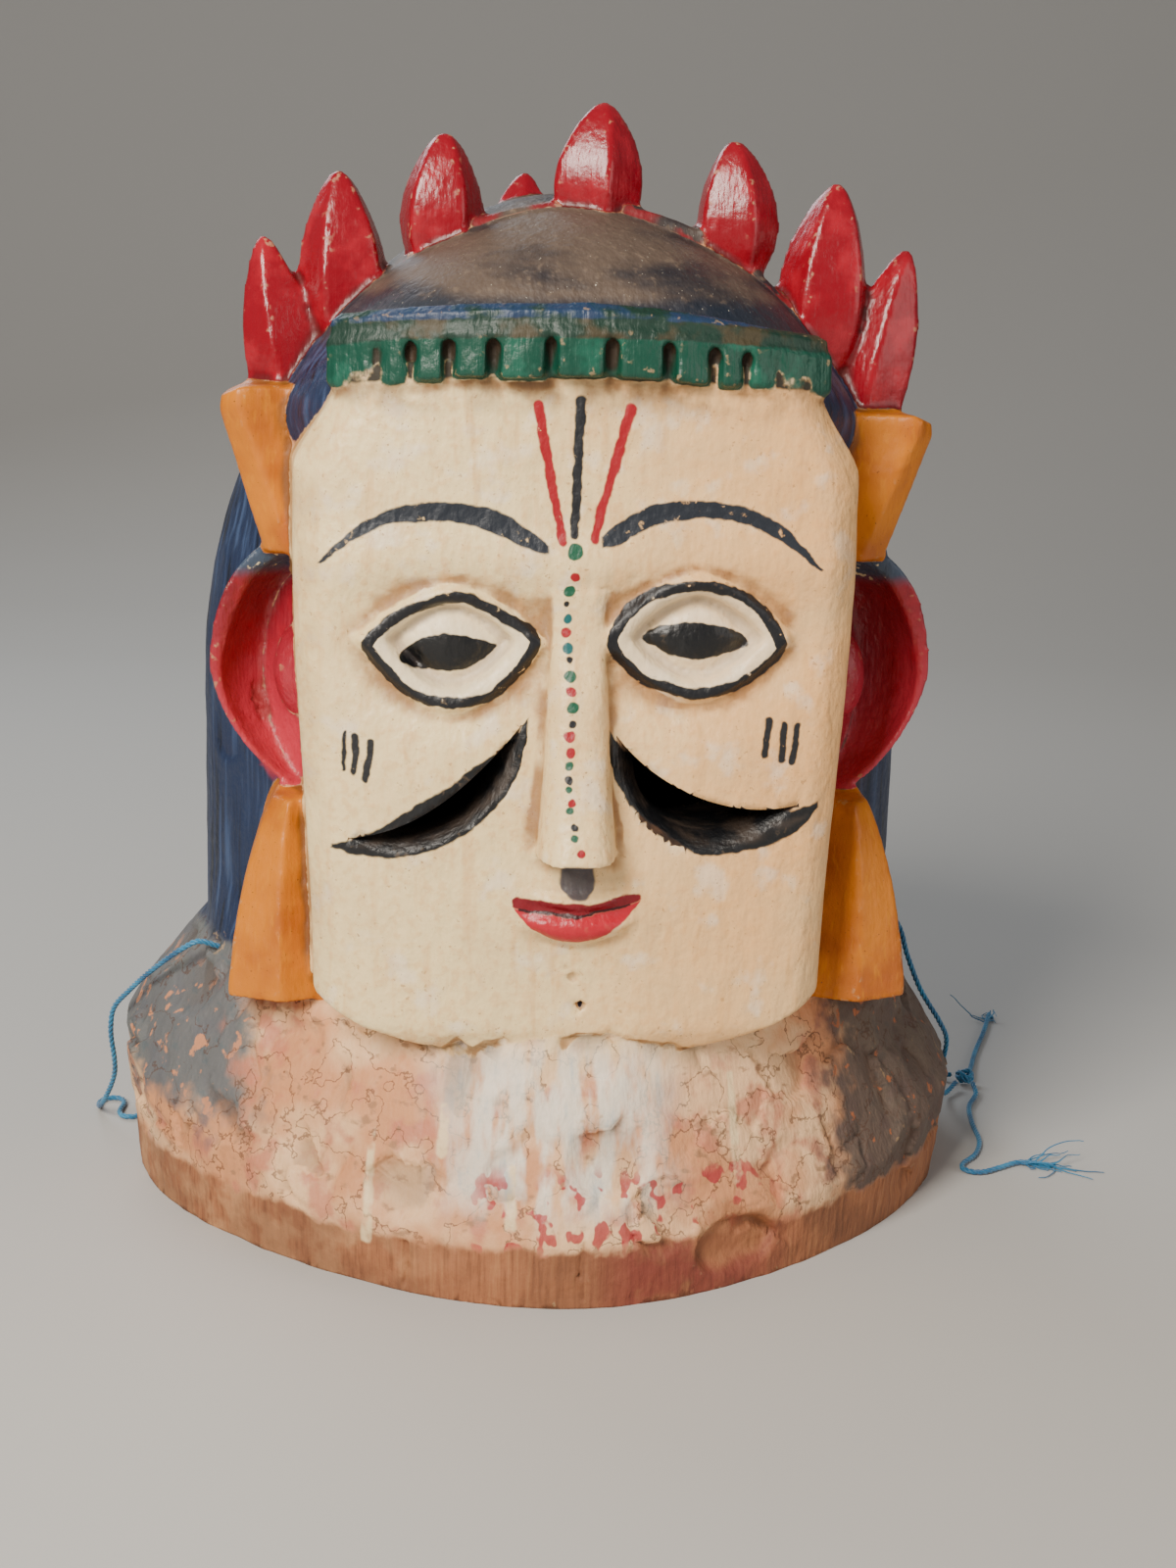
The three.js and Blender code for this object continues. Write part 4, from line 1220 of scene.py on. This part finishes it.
# Bare wood: upright grain on the rim, and a reddish stain to the right of its middle
grain = noise_at(1.5, 4, (1, 1, 0.05), 4)
wide_patch = noise_at(34, 3, seed=5)
patch = noise_at(13, 4, seed=6)
fleck = noise_at(3.2, 3, seed=7)
speck = noise_at(1.1, 2, seed=8)
BARE_WOOD = tint("93502c")
coat(0.75, BARE_WOOD, 0.78)
coat(both(edge(grain, 0.48, 0.72), 0.55), tint("b07a50"), 0.75)
coat(both(edge(grain, 0.5, 0.34), 0.45), tint("5a3520"), 0.8)
coat(both(edge(x, -30, -90), edge(patch, 0.4, 0.6), 0.7), tint("bf8d62"), 0.75)
coat(both(edge(wide_patch, 0.42, 0.6), 0.5), tint("6e452e"), 0.75)
stain = both(edge(x, 2, 26), edge(x, 96, 60), edge(y, -40, -80), edge(patch, 0.26, 0.5))
coat(both(stain, 0.75), tint("7a2f28"), 0.7)

# Collar slope: worn gesso over the wood, bluish at the far left, dark at the far right
RIM_LINE, COLLAR_BACK = (25, 29), (120, 60)
LEFT_START, RIGHT_START = (-106, -126), (94, 112)
rough_height = calc("ADD", z, calc("MULTIPLY", patch, 12.0))
slope = both(edge(rough_height, *RIM_LINE), edge(y, *COLLAR_BACK))
collar_front = edge(y, -60, -90)
wander = calc("MULTIPLY", calc("SUBTRACT", patch, 0.5), 44.0)
left_side = both(edge(calc("ADD", x, wander), *LEFT_START), edge(calc("ADD", z, wander), 34, 52))
right_side = edge(calc("ADD", x, wander), *RIGHT_START)
WORN_GESSO = tint("d08f62")
coat(both(slope, 0.94), WORN_GESSO, 0.65)
coat(both(slope, edge(wide_patch, 0.42, 0.62), 0.8), tint("ecc394"), 0.55)
coat(both(slope, edge(patch, 0.5, 0.66), 0.75), tint("bd6f55"), 0.6)
chin_paint = both(edge(x, -96, -70), edge(x, 96, 74), edge(z, 72, 92), collar_front)
coat(both(slope, chin_paint, edge(patch, 0.3, 0.5), 0.85), tint("f0d3a4"), 0.5)
coat(both(slope, edge(noise_at(7, 4, (1, 1, 1.6), 15), 0.58, 0.7), 0.7), tint("8f6a4c"), 0.75)
coat(both(slope, left_side, 0.9), tint("4a5c63"), 0.6)
left_flakes = edge(noise_at(9, 4, seed=16), 0.58, 0.62)
coat(both(slope, left_side, left_flakes, edge(z, 92, 80)), tint("c38460"), 0.7)
coat(both(slope, right_side, 0.92), tint("4c4540"), 0.7)
right_flakes = edge(noise_at(7, 4, seed=17), 0.63, 0.68)
coat(both(slope, right_side, right_flakes), tint("a8623c"), 0.7)
crackle = calc("ABSOLUTE", calc("SUBTRACT", noise_at(16, 5, seed=22), 0.5))
coat(both(slope, edge(crackle, 0.012, 0.003), 0.65), tint("4f3222"), 0.8)
smear = noise_at(8, 4, (1.1, 0.5, 0.3), 9)
middle_front = both(edge(x, -58, -30), edge(x, 48, 20), edge(z, 98, 78), edge(z, 24, 44), collar_front)
coat(both(slope, middle_front, edge(smear, 0.36, 0.56), 0.85), tint("e6ddcc"), 0.55)
coat(both(slope, middle_front, edge(smear, 0.58, 0.7), 0.6), tint("a4b3b8"), 0.6)
low_front = both(edge(x, -44, -26), edge(x, 88, 60), edge(z, 50, 42), collar_front)
red_flakes = edge(noise_at(7, 2, (1, 1, 0.7), 10), 0.57, 0.61)
coat(both(slope, low_front, red_flakes, 0.85), tint("a8182c"), 0.5)
DRIPS = [((-70, 56), (-72, 18)), ((60, 74), (62, 40)), ((-20, 48), (-21, 29)), ((-44, 66), (-45, 52))]
for start, end in DRIPS:
    drip = both(edge(stroke(start, end, 1.0, 1.9), -0.8, 0.5), edge(patch, 0.36, 0.5), edge(y, 0, -40))
    coat(both(drip, 0.85), tint("ecd0a0"), 0.5)
yellow_drip = both(edge(stroke((85, 108), (90, 94), 1.0, 1.8), -0.8, 0.5), edge(y, 0, -40))
coat(yellow_drip, tint("d98e1e"), 0.5)
knot_spot = stroke((57, 20), (66, 19), 12.0, 9.0)
coat(both(edge(knot_spot, -3, 2), collar_front, 0.7), tint("a26a44"), 0.7)

# Hair and the cap under the buds
HAIR_FOOT = (104, 110)
hair = both(edge(rough_height, *HAIR_FOOT), region("body"))
streak = noise_at(4.5, 3, (1, 1, 0.07), 11)
SLATE = tint("1c2946")
coat(hair, SLATE, 0.5)
coat(both(hair, edge(streak, 0.5, 0.72), 0.7), tint("42567a"), 0.55)
coat(both(hair, edge(streak, 0.46, 0.34), 0.8), tint("0b0e16"), 0.45)
CAP_FOOT = (330, 340)
body_or_rib = calc("MAXIMUM", guides["on_body"], guides["on_rib"])
cap = both(edge(z, *CAP_FOOT), edge(body_or_rib, -0.5, 0.5))
smudge = noise_at(24, 5, (0.5, 0.6, 1.5), 18)
coat(cap, tint("5a4b40"), 0.62)
coat(both(cap, edge(smudge, 0.42, 0.66), 0.9), tint("1b1d26"), 0.5)
coat(both(cap, edge(fleck, 0.56, 0.72), 0.4), tint("7d6a58"), 0.65)
coat(both(cap, edge(z, 352, 347), 0.85), tint("16202e"), 0.5)
coat(both(cap, edge(speck, 0.72, 0.76)), tint("b9b1a2"), 0.6)

# Face: gesso cream, warmer and dirtier to the right, with dirt and painted shade wherever it is hollow,
# and a painted shadow under the band
face = region("face")
# Dirt and painted shade together: darker wherever the surface is hollow
hollow_dirt_and_shade = edge(guides["crease"], 0.1, 0.7)
CREAM = tint("f9dda4")
coat(face, CREAM, 0.42)
coat(both(face, edge(fleck, 0.46, 0.68), 0.4), tint("e3b070"), 0.48)
right_of_face = edge(calc("ADD", x, calc("MULTIPLY", wide_patch, 90.0)), 10, 120)
coat(both(face, right_of_face, edge(y, -70, -100), 0.7), tint("f0a860"), 0.46)
coat(both(face, edge(wide_patch, 0.4, 0.75), 0.5), tint("e2c592"), 0.48)
coat(both(face, edge(patch, 0.56, 0.7), 0.35), tint("f7eede"), 0.5)
coat(both(face, edge(speck, 0.66, 0.73), edge(patch, 0.42, 0.62), 0.65), tint("8c6238"), 0.65)
# Dirt and painted shade: brown laid in the face's hollows, by how hollow the surface is
face_hollows = edge(guides["crease"], 0.06, 0.45)
coat(both(face, face_hollows, edge(patch, 0.22, 0.56), 0.8), tint("905a28"), 0.6)
coat(both(face, edge(noise_at(2.2, 3, seed=20), 0.67, 0.73), 0.5), tint("9b6a38"), 0.65)
coat(both(face, edge(noise_at(5, 4, (1, 1, 0.15), 21), 0.52, 0.7), 0.35), tint("dca462"), 0.5)
# Painted shadow of the band: the forehead just under it is washed dark brown, fading downwards
band_painted_shadow = both(edge(z, 308, 322), edge(patch, 0.34, 0.6))
coat(both(face, band_painted_shadow, 0.75), tint("6f4a28"), 0.6)
face_side = edge(calc("ABSOLUTE", calc("SUBTRACT", x, 1.0)), 85, 94)
coat(both(face, face_side, edge(patch, 0.3, 0.75), 0.45), tint("b88648"), 0.6)

# Marks on the face, each drawn as the photograph shows it, x and z in millimetres
# A filled mark has an upper and a lower edge, and a stroke has its two ends and how wide it is.
BLACK, CRIMSON, GREEN, TEAL = tint("14161b"), tint("9c0618"), tint("0c5138"), tint("0d5a5c")
BROWS = [
    ([(-89, 261), (-81, 268.7), (-72.3, 275.5), (-63.8, 279.4), (-54.9, 281.7), (-46, 282.3),
      (-37.1, 281.6), (-28.4, 279.6), (-19.5, 274.8), (-11.1, 268)],
     [(-88, 260.5), (-81.1, 265.6), (-75.2, 269.2), (-69.5, 272.5), (-63.7, 274.4), (-54.9, 275.5),
      (-46, 275.6), (-37.1, 274.5), (-28.2, 271.6), (-19.4, 267.9), (-12.7, 265.7)]),
    ([(7.1, 271.5), (14, 277.1), (19.8, 280.5), (28.5, 283.3), (37.5, 283.9), (49.6, 283.2),
      (58.7, 281.2), (67.6, 276.9), (73.9, 271.9), (80.3, 265), (84.6, 260.6)],
     [(7.6, 268), (11.9, 268.4), (17.2, 271.1), (22.8, 274.5), (31.7, 277), (43.7, 278),
      (52.8, 277), (61.9, 273.8), (71, 269.2), (77.3, 264.7), (83.6, 259.9)]),
]
EYE_RINGS = [
    ([(-72.6, 232.4), (-67.6, 238.6), (-60.6, 243.7), (-51.7, 247.3), (-40.1, 250), (-33.7, 248),
      (-25, 243.1), (-17.2, 238.8), (-14.6, 235.4)],
     [(-72.6, 232.2), (-67.5, 226.1), (-61.2, 219.8), (-54.5, 215.5), (-46.7, 214), (-38, 214.1),
      (-30.4, 215.9), (-24.7, 220.4), (-18.7, 226.9), (-14.6, 235.2)]),
    ([(11.6, 236), (15.6, 243.9), (22.1, 250.2), (31.1, 253.9), (41.5, 255.2), (48.3, 254.3),
      (56.8, 251.2), (63.5, 246.1), (70.9, 233.6)],
     [(11.6, 235.4), (14.2, 230.3), (17.7, 226.9), (24.3, 221.5), (33.5, 219), (41.1, 217.5),
      (51.9, 219.2), (60.8, 223.4), (67.9, 228.8), (70.9, 233.2)]),
]
PUPILS = [
    ([(-61.2, 229.2), (-56.9, 233.3), (-51.6, 235.7), (-42.6, 237.1), (-34.9, 235.9), (-28, 233.2)],
     [(-61.2, 228), (-54.5, 224.5), (-48.5, 224), (-39.5, 224.3), (-33.5, 226.9), (-28, 232.6)]),
    ([(22.7, 236.6), (26.8, 239.6), (32.8, 241.4), (42, 241.7), (51.2, 240.2), (59.7, 234.6)],
     [(22.7, 235.8), (27, 233), (33.2, 230.3), (41, 229.2), (51.5, 230.5), (59.7, 233.8)]),
]
CRESCENTS = [
    ([(-84.6, 162), (-72.1, 166.2), (-58.4, 175.2), (-47.1, 182.3), (-35.7, 190.7), (-23.3, 200.1),
      (-16.6, 208.4)],
     [(-84.6, 160.6), (-72, 158.5), (-60.5, 158.7), (-46.9, 162.7), (-35.5, 169.4), (-25.2, 179.9),
      (-19.6, 190.8), (-16.6, 204)]),
    ([(11.2, 204.4), (18.2, 195.6), (27.7, 188), (39.5, 181), (51.4, 176.9), (63, 175.2), (74.6, 175.2),
      (86.6, 178)],
     [(11.2, 201), (12.5, 191), (21.1, 176.7), (34.2, 166.2), (45.4, 160.2), (57.9, 161),
      (69.2, 163.2), (79.8, 168.7), (86.6, 176)]),
]
MOUTH_TOP = [(-21.4, 143.2), (-18.9, 145.1), (-8.4, 144.4), (0.9, 143.7), (11.3, 144.8), (20.6, 147),
             (24, 145.8)]
MOUTH_LINE = [(-21.4, 141.8), (-18.8, 140.8), (-8.3, 139.4), (1.1, 139), (11.4, 140.5), (19.6, 142.7),
              (24, 145)]
MOUTH_LOW = [(-21.4, 142.4), (-17.5, 137.2), (-10.6, 132.2), (-2.2, 129.7), (5.9, 130.4),
             (15.1, 135.5), (22.1, 142), (24, 145.2)]
PHILTRUM = ([(-4.6, 161.4), (7.2, 161)],
            [(-4.6, 150), (-3.3, 147.4), (1.6, 144.6), (5.5, 146.6), (7.2, 150)])
STROKES = [((-15.3, 315.3), (-6.1, 269.5), CRIMSON), ((-0.9, 316.9), (-2.2, 271.8), BLACK),
           ((16, 314.6), (4.5, 270.6), CRIMSON)]
CHEEKS = [((-79.5, 202.4), (-80.2, 189), 0.7), ((-75.8, 201.1), (-76.5, 188), 1.2),
          ((-70.8, 199.4), (-72.4, 185.9), 1.2), ((67.1, 207.7), (66.2, 195.9), 1.3),
          ((72.6, 206.4), (72.1, 194.2), 1.3), ((77.5, 205.7), (76.3, 193.2), 1.3)]
DOTS = [
    (-1.6, 266.4, 2.6, GREEN), (-1.7, 258.2, 1.6, CRIMSON), (-3.6, 252.9, 1.9, GREEN),
    (-4.8, 248.5, 1.1, BLACK), (-4, 243.5, 1.6, TEAL), (-4.3, 238.9, 1.8, CRIMSON),
    (-3.8, 233.5, 1.9, TEAL), (-3.1, 229.8, 1.1, BLACK), (-3, 224.5, 2.1, GREEN),
    (-2.9, 219.4, 1.8, CRIMSON), (-2.1, 214, 2.1, GREEN), (-2.3, 208.6, 1.3, BLACK),
    (-2.9, 204.5, 1.9, CRIMSON), (-2.8, 199, 1.8, CRIMSON), (-3.3, 194.6, 1.6, GREEN),
    (-3.2, 190.1, 1.5, BLACK), (-3.2, 187, 1.3, GREEN), (-2.1, 182.2, 1.6, CRIMSON),
    (-2.7, 179.5, 1.3, GREEN), (-1.2, 174.3, 1.3, BLACK), (-1.1, 170.8, 1.3, GREEN),
    (0.7, 166, 1.5, CRIMSON),
]
FACE_FRONT_EDGE = (-70, -80)
face_or_slits = calc("MAXIMUM", guides["on_face"], guides["on_slits"])
on_front = both(edge(y, *FACE_FRONT_EDGE), edge(face_or_slits, -4, -2))
rubbed = edge(fleck, 0.76, 0.68)
for upper, lower in EYE_RINGS:
    coat(both(on_front, edge(filled(upper, lower), -0.5, 0.5), 0.6), tint("f6e8c8"), 0.42)
    coat(both(on_front, edge(ring(upper, lower, 2.0), -0.4, 0.4), rubbed), tint("121318"), 0.45)
for upper, lower in PUPILS:
    coat(both(on_front, edge(filled(upper, lower), -0.4, 0.4)), tint("0d0e11"), 0.4)
thin_paint = edge(fleck, 0.78, 0.62)
for upper, lower in BROWS:
    coat(both(on_front, edge(filled(upper, lower), -0.5, 0.5), thin_paint), tint("1b212b"), 0.5)
coat(both(on_front, edge(filled(*PHILTRUM), -0.7, 0.7), 0.92), tint("2d3448"), 0.5)
coat(both(on_front, edge(filled(MOUTH_TOP, MOUTH_LINE), -0.4, 0.4)), tint("7a0a1a"), 0.35)
coat(both(on_front, edge(filled(MOUTH_LINE, MOUTH_LOW), -0.4, 0.4)), tint("b81a2c"), 0.36)
PARTINGS = [(MOUTH_LINE[1], MOUTH_LINE[3], 0.5, 0.6), (MOUTH_LINE[3], MOUTH_LINE[5], 0.6, 0.4)]
for parting in PARTINGS:
    coat(both(on_front, edge(stroke(*parting), -0.3, 0.3)), tint("33060c"), 0.45)
for start, end, colour in STROKES:
    coat(both(on_front, edge(stroke(start, end, 1.8, 1.5), -0.4, 0.4), rubbed), colour, 0.5)
for start, end, half in CHEEKS:
    coat(both(on_front, edge(stroke(start, end, half, half), -0.4, 0.4), rubbed), tint("1a1a1d"), 0.5)
for dot_x, dot_z, half, colour in DOTS:
    gap = vector("DISTANCE", flat_spot, (dot_x, 0.0, dot_z))
    coat(both(on_front, edge(gap, half + 0.3, half - 0.3)), colour, 0.45)

# Band: turquoise blocks with dark gaps, green moulding worn to the wood, blue line on top
BAND_FOOT = [(-92, 317), (-84, 320), (-50, 323.5), (1, 325), (50, 323.5), (86, 320), (94, 317)]
band = region("band")
MOULDING_FOOT, BEAD_FOOT = (12.5, 13.5), (18.8, 19.6)
band_height = calc("SUBTRACT", z, height_over_x(BAND_FOOT))
# Painted shade: a dark brown strip where the face runs in under the foot of the band
coat(both(face, edge(band_height, -0.8, 0.4), edge(y, -60, -80)), tint("2b2417"), 0.7)
BLOCK_GREEN = tint("0a4434")
coat(band, BLOCK_GREEN, 0.4)
coat(both(band, edge(patch, 0.52, 0.64), 0.6), tint("1a604c"), 0.42)
# Dirt and painted shade in the gaps and hollows of the band
coat(both(band, hollow_dirt_and_shade), tint("231f12"), 0.65)
moulding = both(band, edge(band_height, *MOULDING_FOOT))
coat(moulding, tint("0e2f23"), 0.5)
coat(both(moulding, edge(patch, 0.46, 0.62), 0.7), tint("4a3a22"), 0.65)
coat(both(band, edge(band_height, *BEAD_FOOT), edge(patch, 0.36, 0.5), 0.85), tint("1d3558"), 0.45)

# Buds, the strip at their feet, ears, and the boards above and below the ears
buds = region("buds")
coat(both(region("rib"), edge(patch, 0.56, 0.48), edge(guides["on_buds"], -11, -6)), tint("7d1c22"), 0.5)
BUD_CRIMSON = tint("8a0a1c")
coat(buds, BUD_CRIMSON, 0.26)
coat(both(buds, edge(patch, 0.48, 0.7), 0.6), tint("b3202f"), 0.28)
# Painted highlight: pink flecks on the buds' rounded ridges
coat(both(buds, edge(guides["crease"], -0.3, -0.7), edge(fleck, 0.6, 0.72), 0.35), tint("cf6a68"), 0.34)
# Dirt and painted shade in the buds' hollows
coat(both(buds, hollow_dirt_and_shade, 0.7), tint("33090d"), 0.45)
# The bowls run in to the side of the head, and the paint with them
in_bowl = both(edge(guides["on_ears"], -11, -8), edge(y, -24, -30), edge(z, 166, 174), edge(z, 252, 244))
ears = calc("MAXIMUM", region("ears"), both(in_bowl, region("body")))
# Painted shade: the bowls are dark crimson at the top, lighter towards the bottom
ear_painted_shade_blend = edge(z, 262, 172)
coat(ears, over(tint("6e0a18"), tint("bd3244"), ear_painted_shade_blend), 0.38)
coat(both(ears, edge(patch, 0.5, 0.64), 0.5), tint("9c1526"), 0.36)
ear_lip = both(ears, edge(z, 246, 252))
coat(ear_lip, tint("38475c"), 0.45)
coat(both(ear_lip, edge(fleck, 0.62, 0.68)), tint("dccba2"), 0.5)
boards = region("boards")
ORANGE, DEEP_ORANGE = tint("cc7604"), tint("a85404")
coat(boards, over(ORANGE, DEEP_ORANGE, edge(wide_patch, 0.4, 0.66)), 0.46)
coat(both(boards, edge(noise_at(2.6, 3, (1, 1, 0.3), 12), 0.56, 0.7), 0.3), tint("d98a10"), 0.48)
coat(both(boards, edge(speck, 0.7, 0.75), 0.8), tint("4b2c10"), 0.65)
# Dirt and painted shade in the boards' hollows
coat(both(boards, hollow_dirt_and_shade, 0.7), tint("5c3810"), 0.6)
pendant_top = both(boards, edge(z, 176, 190), edge(z, 240, 230), edge(patch, 0.4, 0.6), 0.6)
coat(pendant_top, tint("4c4a1c"), 0.6)

# Bare dark wood inside, black round and in the crescents, rubbed edges, and dirt with painted shade in
# every hollow
inside = edge(calc("MAXIMUM", guides["on_hollow"], guides["on_slits"]), -0.3, 0.8)
coat(inside, over(tint("2e1d12"), tint("4c3322"), edge(noise_at(5, 3, (1, 1, 0.1), 13), 0.4, 0.65)), 0.85)
in_crescent = calc("MAXIMUM", *[filled(upper, lower) for upper, lower in CRESCENTS])
crescents = both(edge(y, *FACE_FRONT_EDGE), edge(in_crescent, -0.6, 0.5))
coat(crescents, tint("101114"), 0.45)
coat(both(crescents, edge(in_crescent, 1.5, 4.5), edge(patch, 0.4, 0.62), 0.5), tint("4a3c31"), 0.6)
outside = calc("SUBTRACT", 1.0, inside)
worn = both(outside, edge(guides["crease"], -0.35, -0.7), edge(fleck, 0.6, 0.68), 0.5,
            calc("SUBTRACT", 1.0, calc("MULTIPLY", on_front, 0.8)))
coat(worn, tint("b9976e"), 0.75)
# Dirt and painted shade: dark brown in every hollow of the outside
coat(both(outside, edge(guides["crease"], 0.3, 1.3), 0.4), tint("4a2c18"), 0.75)

# Tool marks, grain and brush marks catch the light, and the buds and boards are the smoothest
BUMP_STRENGTH, BUMP_DEPTH = 0.7, 0.001
paint_link(finish["colour"], paint_shader.inputs["Base Color"])
rough_share = add("RGBToBW", finish["rough"]).outputs[0]
paint_link(calc("ADD", rough_share, calc("MULTIPLY", calc("SUBTRACT", fleck, 0.5), 0.25)),
           paint_shader.inputs["Roughness"])
gouges = noise_at(6.5, 2, (1, 1, 0.55), 14)
grain_height = calc("MULTIPLY", grain, calc("MULTIPLY_ADD", face, -0.45, 0.5))
fleck_height = calc("MULTIPLY_ADD", fleck, 0.55, grain_height)
brush = noise_at(1.9, 3, (1, 1, 0.6), 19)
brush_height = calc("MULTIPLY_ADD", brush, 0.35, fleck_height)
relief_height = calc("MULTIPLY_ADD", gouges, 1.6, brush_height)
smoother = calc("SUBTRACT", 1.0, calc("MULTIPLY", calc("MAXIMUM", buds, boards), 0.5))
relief_height = calc("MULTIPLY", relief_height, smoother)
paint_bump = add("Bump")
paint_bump.inputs["Strength"].default_value = BUMP_STRENGTH
paint_bump.inputs["Distance"].default_value = BUMP_DEPTH
paint_link(relief_height, paint_bump.inputs["Height"])
paint_link(paint_bump.outputs["Normal"], paint_shader.inputs["Normal"])
mask.data.materials.clear()
mask.data.materials.append(paint)
